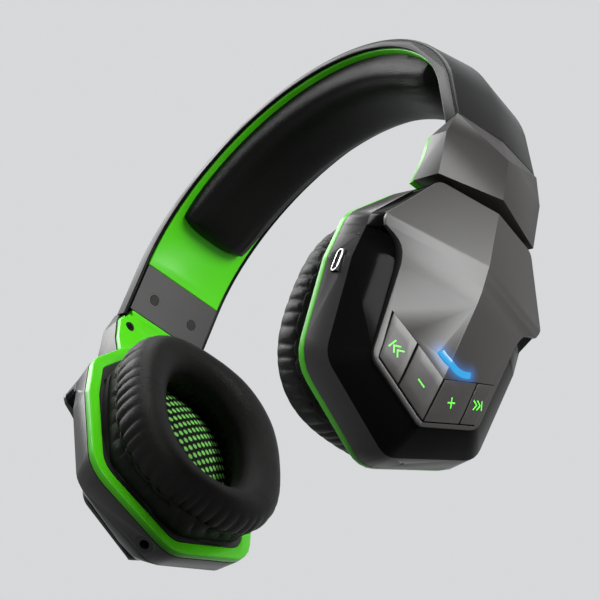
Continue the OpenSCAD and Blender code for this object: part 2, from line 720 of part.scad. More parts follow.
module tilt_pin(side) {
    color(steel) on_side(side)
        translate([pivot.x, 0, pivot.y]) rotate([90, 0, 0])
            cylinder(h = 2 * (ear_y + ear_t), r = pin_r, center = true, $fn = fine);
}

// ---------------------------------------------------------------- cup

cup_boss_at = drawn_in([rim_half[2], rim_half[5]], [8, 12]);
cup_boss_reach = [8 - wall_draft - 0.6, 10 - wall_draft - 0.6];
cup_boss_half = 2.6;

// Posts for the baffle's screws, each standing on the wall.
module cup_bosses() {
    for (side = [-1, 1], i = [0, 1])
        translate([side * cup_boss_at[i].x, cup_boss_at[i].y, trim_half + gap])
            rotate(atan2(cup_boss_at[i].y, side * cup_boss_at[i].x))
                translate([-cup_boss_half, -cup_boss_half, 0])
                    cube([cup_boss_reach[i] + cup_boss_half, 2 * cup_boss_half, 7.5]);
}

// Openings in the cup's top wall for the two ears of the yoke.
module ear_slots() {
    for (s = [-1, 1]) translate([s > 0 ? ear_y - 0.7 : -ear_y - ear_t - 0.7, pivot_b, pivot_n - 6])
        cube([ear_t + 1.4, 12, 12.4]);
}

module cup_housing(side) {
    n = len(rim_outline);
    color(gunmetal) at_cup(side) difference() {
        union() {
            wall_ring([rim_outline, rim_in, even(trim_half, n)], [wall_outline, wall_in, even(wall_h - slack, n)]);
            cup_bosses();
        }
        for (s = [-1, 1], p = cup_boss_at)
            translate([s * p.x, p.y, 0]) cylinder(h = 7.4, r = small_screw_r, $fn = fine);
        ear_slots();
        if (side == LEFT) at_jack() translate([0, 0, -8]) cylinder(h = 12, r = jack_barrel_r + slack, $fn = fine);
        if (side == RIGHT) {
            usb_place() translate([-usb_w / 2 - slack, -usb_h / 2 - slack, -4])
                cube([usb_w + 2 * slack, usb_h + 2 * slack, 8]);
            at_microphone() translate([0, 0, -6]) cylinder(h = 10, r = 0.6, $fn = fine);
        }
    }
}

module cup_bezel(side) {
    n = len(wall_outline);
    color(black_gloss) at_cup(side) difference() {
        wall_ring([wall_outline, wall_in, even(wall_h, n)], [panel_outline, panel_in, panel_low]);
        ear_slots();
    }
}

module cup_panel(side) {
    color(gunmetal) at_cup(side) difference() {
        panel_shell();
        if (side == RIGHT) {
            translate([0, 0, panel_h - 4]) linear_extrude(30) key_window();
            translate([0, 0, panel_h - 4]) linear_extrude(30) light_shape(slack);
        }
    }
}

module rim_trim(side) {
    color(neon) at_cup(side)
        translate([0, 0, -trim_half]) linear_extrude(trim_t - slack) difference() {
            polygon(rim_outline);
            polygon(ring_in(rim_corners, rim_radii, trim_w));
        }
}

module hinge_block(side) {
    block_w = 2 * (ear_y - gap);
    color(black_gloss) at_cup(side)
        difference() {
            translate([-block_w / 2, pivot_b - 5, trim_half]) cube([block_w, 8.4, pivot_n + 4 - trim_half]);
            translate([0, pivot_b, pivot_n]) rotate([0, 90, 0])
                cylinder(h = block_w + 2 * over, r = pin_r + pin_play, center = true, $fn = fine);
        }
}

board_mid = -2;
board_t = 1.2;
board_at = [-board_side / 2, board_mid - board_side / 2];
post_at = [for (s = [1, -1]) [board_side / 2 - 2, board_mid + s * (board_side / 2 - 2)]];
baffle_back = trim_half - gap;
post_top = 11.9;
module baffle(side) {
    color([0.08, 0.08, 0.08]) at_cup(side) difference() {
        union() {
            translate([0, 0, -trim_half]) linear_extrude(trim_half + baffle_back)
                polygon(ring_in(rim_corners, rim_radii, trim_w + slack));
            for (s = [-1, 1], p = post_at) translate([s * p.x, p.y, 0])
                cylinder(h = post_top, r = 1.8, $fn = fine);
        }
        translate([0, 0, -trim_half - over]) cylinder(h = 2 * over + trim_t, r = driver_r - 4, $fn = fine);
        for (s = [-1, 1], p = cup_boss_at) translate([s * p.x, p.y, -trim_half - over]) {
            cylinder(h = 8, r = small_screw_r + slack, $fn = fine);
            cylinder(h = over + small_head_h, r = small_head_r + slack, $fn = fine);
        }
    }
}

module baffle_screws(side) {
    color(steel) at_cup(side) for (s = [-1, 1], p = cup_boss_at) translate([s * p.x, p.y, -trim_half]) {
        cylinder(h = small_head_h, r = small_head_r, $fn = fine);
        cylinder(h = 8, r = small_screw_r, $fn = fine);
    }
}

// Pad: an oval ring with a drawn-in seam, a crowned face and pleats.
pad_turns = 96;
pad_power = 2.6;
pad_back = -trim_half - 0.2;
function oval(a, half_w, half_h, power) =
    let (c = cos(a), s = sin(a), r = pow(pow(abs(c), power) + pow(abs(s), power), -1 / power))
    [half_w * r * c, half_h * r * s];
// Section: [share from lip to outer edge, depth share, pleat share].
pad_section = [[0.42, 0, 0], [0.96, 0, 0], [1.0, 0.10, 0.3], [1.0, 0.26, 0.6], [0.955, 0.37, 0],
               [0.995, 0.47, 1], [0.99, 0.66, 1], [0.9, 0.87, 0.6], [0.66, 1.0, 0],
               [0.34, 0.985, 0], [0.1, 0.86, 0], [0, 0.66, 0], [0.12, 0.4, 0]];
module ear_pad(side) {
    color(leatherette) at_cup(side) translate([0, pad_up, 0])
        ring_loft([for (i = [0:pad_turns - 1])
            let (a = 360 * i / pad_turns,
                 lip = oval(a, opening_half_w, opening_half_h, 2.2),
                 edge = oval(a, pad_half_w, pad_half_h, pad_power),
                 fold = pleat_d * (0.5 + 0.5 * cos(pleats * a)) / norm(edge - lip))
            [for (q = pad_section)
                let (p = lip + (edge - lip) * (q[0] - fold * q[2]))
                [p.x, p.y, pad_back - pad_depth * q[1]]]]);
}

mesh_t = 0.8;
mesh_share = 0.34;
// One ring of the domed mesh, at a share r of the way from its middle to its edge.
function mesh_ring(r, n) = [for (i = [0:47])
    let (a = 7.5 * i, lip = oval(a, opening_half_w, opening_half_h, 2.2),
         edge = oval(a, pad_half_w, pad_half_h, pad_power),
         p = (lip + (edge - lip) * mesh_share) * r)
    [p.x, p.y, n - mesh_rise * (1 - pow(r, 2.2))]];
module ear_mesh(side) {
    shares = [0.15, 0.5, 0.8, 1];
    color([0.1, 0.1, 0.1]) at_cup(side) translate([0, pad_up, 0])
        loft(concat([for (r = shares) mesh_ring(r, -trim_half)],
                    [for (k = [3:-1:0]) mesh_ring(shares[k], -trim_half - mesh_t)]));
}

frame_back = baffle_back + slack + driver_d;
module driver_frame(side) {
    color([0.15, 0.15, 0.15]) at_cup(side) difference() {
        translate([0, 0, baffle_back + slack]) cylinder(h = driver_d, r = driver_r, $fn = fine);
        translate([0, 0, baffle_back - over]) cylinder(h = driver_d + over - 0.7, r = driver_r - 3.5, $fn = fine);
    }
}

module driver_cone(side) {
    rim = driver_r - 3.5 - slack;
    color([0.75, 0.7, 0.6]) at_cup(side) translate([0, 0, baffle_back + slack])
        rotate_extrude($fn = fine)
            polygon([[0, 2.6], [6, 2.6], [rim - 2.5, 0.6], [rim, 0.6], [rim, 1.2], [rim - 2.5, 1.2], [6.4, 3.3], [0, 3.3]]);
}

module driver_magnet(side) {
    color(steel) at_cup(side) translate([0, 0, frame_back + slack])
        cylinder(h = 4.6, r = magnet_r, $fn = fine);
}

// ---------------------------------------------------------------- left cup

module battery_tray() {
    color([0.12, 0.12, 0.12]) at_cup(LEFT)
        translate([board_at.x, board_at.y, post_top + slack]) cube([board_side, board_side, board_t]);
}

module battery() {
    color([0.6, 0.62, 0.66]) at_cup(LEFT)
        translate([-battery_w / 2, board_mid - battery_h / 2 + 1, post_top + board_t + 2 * slack])
            cube([battery_w, battery_h, battery_t]);
}

chin_run = unit([heel_half_w, chin_d - heel_d]);
socket_n = 5.8;
wall_sunk = wall_draft * (socket_n - trim_half) / (wall_h - trim_half);
// Places children on a lower wall, z outwards: across is REAR or FRONT.
module on_chin_wall(across, along) {
    sunk = wall_sunk;
    p = [across * chin_run.x * along, -chin_d + chin_run.y * along];
    out = [across * chin_run.y, -chin_run.x];
    translate([p.x - out.x * sunk, p.y - out.y * sunk, socket_n])
        rotate([0, 0, atan2(out.y, out.x)]) rotate([0, 90, 0]) children();
}
module at_jack() { on_chin_wall(REAR, jack_along) children(); }
module at_microphone() { on_chin_wall(FRONT, jack_along + 4) children(); }

module jack_socket() {
    color([0.05, 0.05, 0.05]) at_cup(LEFT) at_jack() difference() {
        translate([0, 0, -jack_len - 1]) cylinder(h = jack_len + 1.3, r = jack_barrel_r, $fn = fine);
        translate([0, 0, -jack_len + 0.3]) cylinder(h = jack_len + over, r = jack_r, $fn = fine);
    }
}

// ---------------------------------------------------------------- right cup

module main_board() {
    color(board_green) at_cup(RIGHT)
        translate([board_at.x, board_at.y, post_top + slack]) cube([board_side, board_side, board_t]);
}

switch_n = post_top + board_t + 2 * slack;
module switch_board() {
    k = key_zone();
    half = board_side / 2 - 0.5;
    color(board_green) at_cup(RIGHT)
        translate([0, 0, switch_n]) linear_extrude(board_t)
            polygon([[-half, k[1] + 9], [-half, k[0] + 13.5], [0, k[0] + 3.5], [half, k[0] + 13.5],
                     [half, k[1] + 9], [0, k[1] + 1]]);
}

switch_h = 1.9;
switch_top = switch_n + board_t + slack + switch_h;
// Each key's side and its reach from the middle, rear to front.
function key_spans() = [[REAR, rear_split, key_half_w], [REAR, 0, rear_split],
                        [FRONT, 0, front_split], [FRONT, front_split, key_half_w]];
function key_centre(i) = let (k = key_spans()[i], reach = (k[1] + k[2]) / 2)
    [k[0] * reach, key_slope * reach + (key_zone()[0] + key_zone()[1]) / 2];
module key_switches() {
    color([0.8, 0.8, 0.8]) at_cup(RIGHT)
        for (i = [0:3]) translate([key_centre(i).x, key_centre(i).y, switch_n + board_t + slack])
            cylinder(h = switch_h, r = 2, $fn = fine);
}

// Key band: a chevron over the panel's chin. Returns its two heights at the middle.
key_slope = (panel_chin_d + panel_heel.y) / panel_heel.x;
function key_zone() = [-panel_chin_d + key_margin, -panel_chin_d + key_margin + key_band];
foot_half_w = panel_heel.x - key_margin - 0.7;
// Where the band's upper edge meets the panel's side, less the side margin.
panel_belly = panel_half[4];
side_share = (key_zone()[1] + key_slope * panel_heel.x - panel_heel.y)
    / (panel_belly.y - panel_heel.y - key_slope * (panel_belly.x - panel_heel.x));
key_half_w = panel_heel.x + (panel_belly.x - panel_heel.x) * side_share - key_side_margin;

module key_window() {
    low = key_zone()[0];
    high = key_zone()[1];
    blunt = 0.35;
    half_points = [[blunt, low + key_slope * blunt], [foot_half_w, low + key_slope * foot_half_w],
                   [key_half_w, high + key_slope * key_half_w], [blunt, high + key_slope * blunt]];
    polygon(concat(half_points, [for (k = [3:-1:0]) [-half_points[k].x, half_points[k].y]]));
}

function key_point(side, x, share) =
    let (low = key_zone()[0], high = key_zone()[1],
         foot = min(x, foot_half_w), px = x + (foot - x) * (1 - share))
    [side * px, low + key_slope * foot + (high + key_slope * x - low - key_slope * foot) * share];
module one_key(i) {
    side = key_spans()[i][0];
    from = key_spans()[i][1] + key_gap;
    to = key_spans()[i][2] - key_gap;
    at = key_centre(i);
    cols = 4;
    rows = 4;
    inset_share = key_gap * 1.12 / key_band;
    grid = [for (r = [0:rows]) let (share = inset_share + (1 - 2 * inset_share) * r / rows)
        [for (c = [0:cols]) let (x = from + (to - from) * (side == REAR ? cols - c : c) / cols) key_point(side, x, share)]];
    color(gunmetal) at_cup(RIGHT) {
        slab([for (row = grid) [for (p = row) [p.x, p.y, dome_h(p.x, p.y) + key_proud]]],
             [for (row = grid) [for (p = row) [p.x, p.y, dome_h(p.x, p.y) + key_proud - 2.6]]]);
        translate([at.x, at.y, switch_top + key_travel + slack])
            cylinder(h = dome_h(at.x, at.y) - 1 - switch_top - key_travel, r = 1.6, $fn = fine);
    }
}
module key_previous() { one_key(0); }
module key_minus() { one_key(1); }
module key_plus() { one_key(2); }
module key_next() { one_key(3); }

light_centre = [2.8, key_zone()[1] + 5 + light_r];
light_start = 237;
light_end = 304;
module light_shape(d) {
    spread = d * 180 / PI / light_r;
    polygon([for (side = [1, -1]) for (i = [0:12])
        let (k = side > 0 ? i : 12 - i,
             a = light_start - spread + (light_end - light_start + 2 * spread) * k / 12)
        light_centre + (light_r + side * (light_w / 2 + d)) * [cos(a), sin(a)]]);
}
module light_window() {
    color([0.1, 0.6, 0.9]) at_cup(RIGHT) {
        rows = [for (k = [0:12]) let (a = light_start + (light_end - light_start) * k / 12)
            [for (r = [light_r - light_w / 2, light_r + light_w / 2]) light_centre + r * [cos(a), sin(a)]]];
        slab([for (row = rows) [for (p = row) [p.x, p.y, dome_h(p.x, p.y) + 0.15]]],
             [for (row = rows) [for (p = row) [p.x, p.y, dome_h(p.x, p.y) - 2.9]]]);
    }
}

usb_n = 5.6;
usb_out = belly_half_w - 1.2;
// Places children at the port's mouth: z rearwards out of the cup, x up the cup.
module usb_place() {
    translate([-usb_out, usb_y, usb_n]) rotate([0, -90, 0]) rotate([0, 0, 90]) children();
}
module usb_port() {
    depth = 5.6;
    color(steel) at_cup(RIGHT) usb_place() {
        difference() {
            translate([-usb_w / 2, -usb_h / 2, -depth]) cube([usb_w, usb_h, depth + 0.2]);
            translate([-usb_w / 2 + 0.4, -usb_h / 2 + 0.4, -depth + 0.6]) cube([usb_w - 0.8, usb_h - 0.8, depth + over]);
        }
        translate([-usb_w / 2 + 1.4, -0.3, -depth + 0.3]) cube([usb_w - 2.8, 0.6, depth - 1.2]);
    }
}

module microphone() {
    color([0.75, 0.75, 0.75]) at_cup(RIGHT) at_microphone() translate([0, 0, -5]) cylinder(h = 2.2, r = 2, $fn = fine);
}

// ---------------------------------------------------------------- drawing

band_shell();
band_liner();
band_cushion();
spring_band();
cross_cable();
end_plate(LEFT);  // end_plate_left
end_plate(RIGHT);  // end_plate_right
end_plate_screws();
slide_guide(LEFT);  // slide_guide_left
slide_guide(RIGHT);  // slide_guide_right
arm_shell(LEFT);  // arm_shell_left
arm_shell(RIGHT);  // arm_shell_right
slider(LEFT);  // slider_left
slider(RIGHT);  // slider_right
slider_strip(LEFT);  // slider_strip_left
slider_strip(RIGHT);  // slider_strip_right
yoke(LEFT);  // yoke_left
yoke(RIGHT);  // yoke_right
arm_screws(LEFT);  // arm_screws_left
arm_screws(RIGHT);  // arm_screws_right
tilt_pin(LEFT);  // tilt_pin_left
tilt_pin(RIGHT);  // tilt_pin_right
cup_housing(LEFT);  // cup_housing_left
cup_housing(RIGHT);  // cup_housing_right
cup_bezel(LEFT);  // cup_bezel_left
cup_bezel(RIGHT);  // cup_bezel_right
cup_panel(LEFT);  // cup_panel_left
cup_panel(RIGHT);  // cup_panel_right
rim_trim(LEFT);  // rim_trim_left
rim_trim(RIGHT);  // rim_trim_right
hinge_block(LEFT);  // hinge_block_left
hinge_block(RIGHT);  // hinge_block_right
baffle(LEFT);  // baffle_left
baffle(RIGHT);  // baffle_right
baffle_screws(LEFT);  // baffle_screws_left
baffle_screws(RIGHT);  // baffle_screws_right
ear_pad(LEFT);  // ear_pad_left
ear_pad(RIGHT);  // ear_pad_right
ear_mesh(LEFT);  // ear_mesh_left
ear_mesh(RIGHT);  // ear_mesh_right
driver_frame(LEFT);  // driver_frame_left
driver_frame(RIGHT);  // driver_frame_right
driver_cone(LEFT);  // driver_cone_left
driver_cone(RIGHT);  // driver_cone_right
driver_magnet(LEFT);  // driver_magnet_left
driver_magnet(RIGHT);  // driver_magnet_right
battery_tray();
battery();
jack_socket();
main_board();
switch_board();
key_switches();
usb_port();
microphone();
light_window();
key_previous();
key_minus();
key_plus();
key_next();
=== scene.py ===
"""Dresses the headset: moulded shells, stitched pads, controls, sockets, light and camera."""
import json
import logging
import math
from dataclasses import dataclass
from enum import Enum
from typing import Iterable, Optional, Sequence, Union

import bmesh
import bpy
from mathutils import Matrix, Vector
from mathutils.bvhtree import BVHTree

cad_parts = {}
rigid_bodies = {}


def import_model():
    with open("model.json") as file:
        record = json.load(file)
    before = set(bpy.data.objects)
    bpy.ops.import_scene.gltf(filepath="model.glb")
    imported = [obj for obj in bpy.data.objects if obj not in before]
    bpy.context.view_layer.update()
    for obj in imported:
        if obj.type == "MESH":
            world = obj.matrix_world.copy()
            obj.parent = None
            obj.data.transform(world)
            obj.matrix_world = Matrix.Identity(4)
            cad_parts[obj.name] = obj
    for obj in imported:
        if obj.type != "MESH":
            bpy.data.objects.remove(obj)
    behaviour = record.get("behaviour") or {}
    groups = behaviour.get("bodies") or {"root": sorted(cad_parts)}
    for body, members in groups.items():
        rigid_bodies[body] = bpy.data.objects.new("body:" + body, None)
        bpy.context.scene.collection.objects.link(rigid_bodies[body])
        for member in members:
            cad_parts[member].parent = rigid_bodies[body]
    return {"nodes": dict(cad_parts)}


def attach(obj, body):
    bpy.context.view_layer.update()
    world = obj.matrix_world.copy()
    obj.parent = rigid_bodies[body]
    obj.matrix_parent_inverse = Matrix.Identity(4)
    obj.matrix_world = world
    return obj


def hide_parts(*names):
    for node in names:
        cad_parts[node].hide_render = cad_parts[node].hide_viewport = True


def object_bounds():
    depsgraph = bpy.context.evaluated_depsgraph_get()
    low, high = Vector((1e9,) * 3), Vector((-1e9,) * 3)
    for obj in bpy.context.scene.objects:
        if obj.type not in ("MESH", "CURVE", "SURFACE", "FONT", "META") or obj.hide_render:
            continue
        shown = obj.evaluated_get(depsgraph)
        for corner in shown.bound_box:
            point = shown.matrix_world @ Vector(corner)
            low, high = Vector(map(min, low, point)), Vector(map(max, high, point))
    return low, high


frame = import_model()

LOG = logging.getLogger("headset")
CAD_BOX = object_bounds()
MM = 0.001

Colour = tuple[float, float, float, float]
Point = tuple[float, float]
Socket = bpy.types.NodeSocket
Sockets = bpy.types.bpy_prop_collection
Feed = Union[Socket, float, Sequence[float]]


class Side(Enum):
    """The wearer's left or right."""

    LEFT = -1
    RIGHT = 1

    @property
    def word(self) -> str:
        """Returns the side's name as it ends a node's name."""
        return self.name.lower()

    @property
    def mirror(self) -> Matrix:
        """Returns the transform that carries a right-hand shape to this side."""
        return Matrix.Diagonal((self.value, 1, 1, 1))


def axes(across: Sequence[float], up: Sequence[float], out: Sequence[float],
         middle: Sequence[float]) -> Matrix:
    """Returns the transform that has these three directions and this middle."""
    return Matrix([(*across, 0), (*up, 0), (*out, 0), (*middle, 1)]).transposed()


# ------------------------------------------------------------------ nodes


class Wiring:
    """Adds nodes to a node tree and feeds their inputs."""

    def __init__(self, tree: bpy.types.NodeTree) -> None:
        """Takes the tree that the nodes go into."""
        self.tree = tree

    def feed(self, sockets: Sockets, values: dict[Union[str, int], Feed]) -> None:
        """Links each input that is given a socket, and sets each that is given a plain value.

        Args:
            sockets: the inputs of a node.
            values: what the inputs get, by their name or place.
        """
        for key, value in values.items():
            if isinstance(value, Socket):
                self.tree.links.new(value, sockets[key])
            else:
                sockets[key].default_value = value

    def node(self, kind: str, values: Optional[dict[Union[str, int], Feed]] = None,
             **options: object) -> Sockets:
        """Adds a node.

        Args:
            kind: the node's type, without the word ShaderNode.
            values: what its inputs get, by their name or place.
            **options: the node's own settings.

        Returns:
            The node's outputs.
        """
        made = self.tree.nodes.new("ShaderNode" + kind)
        for option, value in options.items():
            setattr(made, option, value)
        self.feed(made.inputs, values or {})
        return made.outputs

    def math(self, operation: str, *values: Feed, clamp: bool = False) -> Socket:
        """Returns the result of a maths node on the given values."""
        return self.node("Math", dict(enumerate(values)), operation=operation, use_clamp=clamp)[0]

    def vector(self, operation: str, *values: Feed) -> Sockets:
        """Returns the outputs of a vector maths node on the given values."""
        return self.node("VectorMath", dict(enumerate(values)), operation=operation)

    def length(self, one: Socket, two: Socket) -> Socket:
        """Returns the length of a step that goes this far in two square directions."""
        squares = [self.math("MULTIPLY", side, side) for side in (one, two)]
        return self.math("SQRT", self.math("ADD", *squares))

    def mix(self, share: Socket, one: Colour, other: Colour) -> Socket:
        """Returns the first colour where the mask is 0 and the other where it is 1."""
        return self.node("MixRGB", {"Fac": share, "Color1": one, "Color2": other})["Color"]

    def bump(self, height: Socket, depth: float, strength: float) -> Socket:
        """Returns the normal of a relief that is this many metres deep."""
        values = {"Height": height, "Distance": depth, "Strength": strength}
        return self.node("Bump", values)["Normal"]

    def group(self, name: str, where: Socket, **values: float) -> Sockets:
        """Places a shared group.

        Args:
            name: the group's name.
            where: the coordinate socket that feeds it.
            **values: input values, with underscores for spaces.

        Returns:
            The group node's outputs.
        """
        inputs = {label.replace("_", " "): value for label, value in values.items()}
        return self.node("Group", {"Vector": where, **inputs}, node_tree=GROUPS.get(name))

    def seen_ray(self) -> Socket:
        """Returns 1 on rays that show the backdrop: the camera's, gloss and clear pieces."""
        path = self.node("LightPath")
        gloss = self.math("MAXIMUM", path["Is Camera Ray"], path["Is Glossy Ray"])
        return self.math("MAXIMUM", gloss, path["Is Transmission Ray"])


class NodeGroups:
    """Shader node groups that several finishes share, each built once."""

    def __init__(self) -> None:
        """Starts with no groups built."""
        self._built: dict[str, bpy.types.NodeTree] = {}

    def get(self, name: str) -> bpy.types.NodeTree:
        """Returns a group, building it the first time.

        Args:
            name: one of plastic_surface, edge_wear, leather_surface, light_halo or woven_dots.

        Returns:
            The shader node tree.
        """
        if name not in self._built:
            self._built[name] = getattr(self, "_" + name)()
        return self._built[name]

    @staticmethod
    def _start(name: str, inputs: dict[str, float],
               outputs: Sequence[str]) -> tuple[Wiring, Sockets, Sockets]:
        """Makes an empty group that reads a vector and some values.

        Args:
            name: the group's name.
            inputs: the default of each value that it reads.
            outputs: the name of each value that it puts out.

        Returns:
            Its wiring, the sockets that it reads and the sockets that it fills.
        """
        tree = bpy.data.node_groups.new(name, "ShaderNodeTree")
        tree.interface.new_socket(name="Vector", in_out="INPUT", socket_type="NodeSocketVector")
        value = "NodeSocketFloat"
        for label, default in inputs.items():
            socket = tree.interface.new_socket(name=label, in_out="INPUT", socket_type=value)
            socket.default_value = default
        for label in outputs:
            tree.interface.new_socket(name=label, in_out="OUTPUT", socket_type=value)
        given, filled = (tree.nodes.new(kind) for kind in ("NodeGroupInput", "NodeGroupOutput"))
        return Wiring(tree), given.outputs, filled.inputs

    def _plastic_surface(self) -> bpy.types.NodeTree:
        """Makes the moulded plastic group.

        Returns:
            The group: a fine grain, and smudges in the gloss.
        """
        wire, given, filled = self._start(
            "plastic_surface", {"Grain Scale": 2500.0, "Roughness": 0.3, "Smudge": 0.05},
            ["Roughness", "Height", "Mottle"])
        grain = wire.node("TexNoise", {"Vector": given["Vector"], "Scale": given["Grain Scale"],
                                       "Detail": 2.0})
        cloud = wire.node("TexNoise", {"Vector": given["Vector"], "Scale": 38.0, "Detail": 5.0})
        centred = wire.math("SUBTRACT", cloud["Fac"], 0.5)
        gloss = wire.math("MULTIPLY_ADD", centred, given["Smudge"], given["Roughness"])
        wire.feed(filled, {"Roughness": gloss, "Height": grain["Fac"], "Mottle": cloud["Fac"]})
        return wire.tree

    def _edge_wear(self) -> bpy.types.NodeTree:
        """Makes the edge group.

        Returns:
            The group: a mask that is high on convex edges, broken up by noise.
        """
        wire, given, filled = self._start("edge_wear", {"Amount": 0.3}, ["Mask"])
        shape = wire.node("NewGeometry")["Pointiness"]
        edge = wire.node("MapRange", {"Value": shape, "From Min": 0.52, "From Max": 0.62})
        chips = wire.node("TexNoise", {"Vector": given["Vector"], "Scale": 420.0})
        broken = wire.math("MULTIPLY", edge["Result"], chips["Fac"])
        wire.feed(filled, {"Mask": wire.math("MULTIPLY", broken, given["Amount"], clamp=True)})
        return wire.tree

    def _leather_surface(self) -> bpy.types.NodeTree:
        """Makes the leatherette group.

        Returns:
            The group: small cells with creases between them.
        """
        wire, given, filled = self._start(
            "leather_surface", {"Cell Scale": 1100.0, "Roughness": 0.5},
            ["Height", "Roughness", "Tone"])
        warp = wire.node("TexNoise", {"Vector": given["Vector"], "Scale": 260.0})
        shift = {"Fac": 0.0012, "Color1": given["Vector"], "Color2": warp["Color"]}
        bend = wire.node("MixRGB", shift, blend_type="LINEAR_LIGHT")
        cells = wire.node("TexVoronoi", {"Vector": bend["Color"], "Scale": given["Cell Scale"]},
                          feature="DISTANCE_TO_EDGE")
        crease = wire.node("MapRange", {"Value": cells["Distance"], "From Max": 0.22})
        broad = wire.node("TexNoise", {"Vector": given["Vector"], "Scale": 70.0, "Detail": 4.0})
        rough = wire.math("MULTIPLY_ADD", broad["Fac"], 0.12, given["Roughness"])
        wire.feed(filled, {"Height": crease["Result"], "Roughness": rough, "Tone": broad["Fac"]})
        return wire.tree

    def _light_halo(self) -> bpy.types.NodeTree:
        """Makes the halo group.

        Returns:
            The group: a mask that fades away from the light window's arc.
        """
        wire, given, filled = self._start("light_halo", {"Reach": 4.0}, ["Mask"])
        cup = CUP.matrix(Side.RIGHT)
        middle = cup @ (Vector((LIGHT_ARC.forward, LIGHT_ARC.up, 0)) * MM)
        offset = wire.vector("SUBTRACT", given["Vector"], middle)["Vector"]
        forward, up = (wire.vector("DOT_PRODUCT", offset, cup.col[i][:3])["Value"] for i in (0, 1))
        turn = wire.math("SUBTRACT", wire.math("ARCTAN2", up, forward), LIGHT_ARC.middle_turn)
        past = wire.math("SUBTRACT", wire.math("ABSOLUTE", turn), LIGHT_ARC.half_turn)
        along = wire.math("MULTIPLY", wire.math("MAXIMUM", past, 0.0), LIGHT_ARC.radius * MM)
        across = wire.math("SUBTRACT", wire.length(forward, up), LIGHT_ARC.radius * MM)
        reach = wire.math("MULTIPLY", given["Reach"], MM)
        share = wire.math("DIVIDE", wire.length(along, across), reach)
        fade = wire.math("SUBTRACT", 1.0, share, clamp=True)
        wire.feed(filled, {"Mask": wire.math("POWER", fade, 2.2)})
        return wire.tree

    def _woven_dots(self) -> bpy.types.NodeTree:
        """Makes the mesh fabric group.

        Returns:
            The group: a diagonal lattice with a soft dot in each opening.
        """
        wire, given, filled = self._start("woven_dots", {"Pitch Scale": 400.0}, ["Dot", "Height"])
        turn = wire.node("VectorRotate", {"Vector": given["Vector"], "Angle": math.radians(45)},
                         rotation_type="Z_AXIS")
        grow = wire.node("VectorMath", {0: turn["Vector"], "Scale": given["Pitch Scale"]},
                         operation="SCALE")
        cell = wire.vector("FRACTION", grow["Vector"])
        centre = wire.vector("SUBTRACT", cell["Vector"], (0.5, 0.5, 0.0))
        flat = wire.vector("MULTIPLY", centre["Vector"], (1.0, 1.0, 0.0))
        radius = wire.vector("LENGTH", flat["Vector"])["Value"]
        dot = wire.node("MapRange", {"Value": radius, "From Min": 0.36, "From Max": 0.28})
        height = wire.node("MapRange", {"Value": radius, "From Min": 0.2, "From Max": 0.5})
        wire.feed(filled, {"Dot": dot["Result"], "Height": height["Result"]})
        return wire.tree


GROUPS = NodeGroups()


# ------------------------------------------------------------------ finishes


def linear(red: int, green: int, blue: int) -> tuple[float, float, float, float]:
    """Turns an 8-bit screen colour into the linear colour that shaders use.

    Args:
        red: the red level, 0 to 255.
        green: the green level, 0 to 255.
        blue: the blue level, 0 to 255.

    Returns:
        Linear red, green, blue and an alpha of 1.
    """
    def one(level: int) -> float:
        """Returns one channel's linear value."""
        v = level / 255
        return v / 12.92 if v <= 0.04045 else ((v + 0.055) / 1.055) ** 2.4
    return one(red), one(green), one(blue), 1.0


class Finish:
    """A material built on demand: the base of every finish."""

    name: str

    def material(self) -> bpy.types.Material:
        """Returns the material, building it the first time."""
        made = bpy.data.materials.get(self.name)
        if made is None:
            made = bpy.data.materials.new(self.name)
            made.use_nodes = True
            wire = Wiring(made.node_tree)
            shader = made.node_tree.nodes["Principled BSDF"]
            wire.feed(shader.inputs, self.dress(wire, wire.node("TexCoord")["Object"]))
        return made

    def dress(self, wire: Wiring, where: Socket) -> dict[str, Feed]:
        """Adds the nodes that make this finish.

        Args:
            wire: the material's wiring.
            where: the Object coordinate socket.

        Returns:
            What the shader's inputs get.
        """
        raise NotImplementedError

    @staticmethod
    def darker(colour: Colour, share: float) -> Colour:
        """Returns a colour at a share of its level."""
        return (*(share * c for c in colour[:3]), 1.0)


@dataclass(frozen=True)
class Plastic(Finish):
    """Moulded plastic with a fine grain, faint smudges and slightly worn edges."""

    name: str
    colour: Colour
    worn: Colour
    roughness: float = 0.3
    smudge: float = 0.08
    grain_depth: float = 0.00002
    grain_strength: float = 0.5
    grain_scale: float = 2500.0
    wear: float = 0.25
    ior: float = 1.45

    def dress(self, wire: Wiring, where: Socket) -> dict[str, Feed]:
        """Adds the grain, the smudges and the worn edges.

        Args:
            wire: the material's wiring.
            where: the Object coordinate socket.

        Returns:
            What the shader's inputs get.
        """
        skin = wire.group("plastic_surface", where, Grain_Scale=self.grain_scale,
                          Roughness=self.roughness, Smudge=self.smudge)
        edge = wire.group("edge_wear", where, Amount=self.wear)
        return {"Base Color": wire.mix(edge["Mask"], self.colour, self.worn),
                "Roughness": skin["Roughness"], "IOR": self.ior,
                "Normal": wire.bump(skin["Height"], self.grain_depth, self.grain_strength)}


@dataclass(frozen=True)
class HaloPlastic(Plastic):
    """Moulded plastic that glows faintly round the light window."""

    halo: Colour = (0.0, 0.2, 0.6, 1.0)
    reach: float = 5.0

    def dress(self, wire: Wiring, where: Socket) -> dict[str, Feed]:
        """Adds the plastic's own surface, then the halo.

        Args:
            wire: the material's wiring.
            where: the Object coordinate socket.

        Returns:
            What the shader's inputs get.
        """
        surface = super().dress(wire, where)
        glow = wire.group("light_halo", where, Reach=self.reach)
        return {**surface, "Emission Color": wire.mix(glow["Mask"], (0, 0, 0, 1), self.halo),
                "Emission Strength": 1.0}


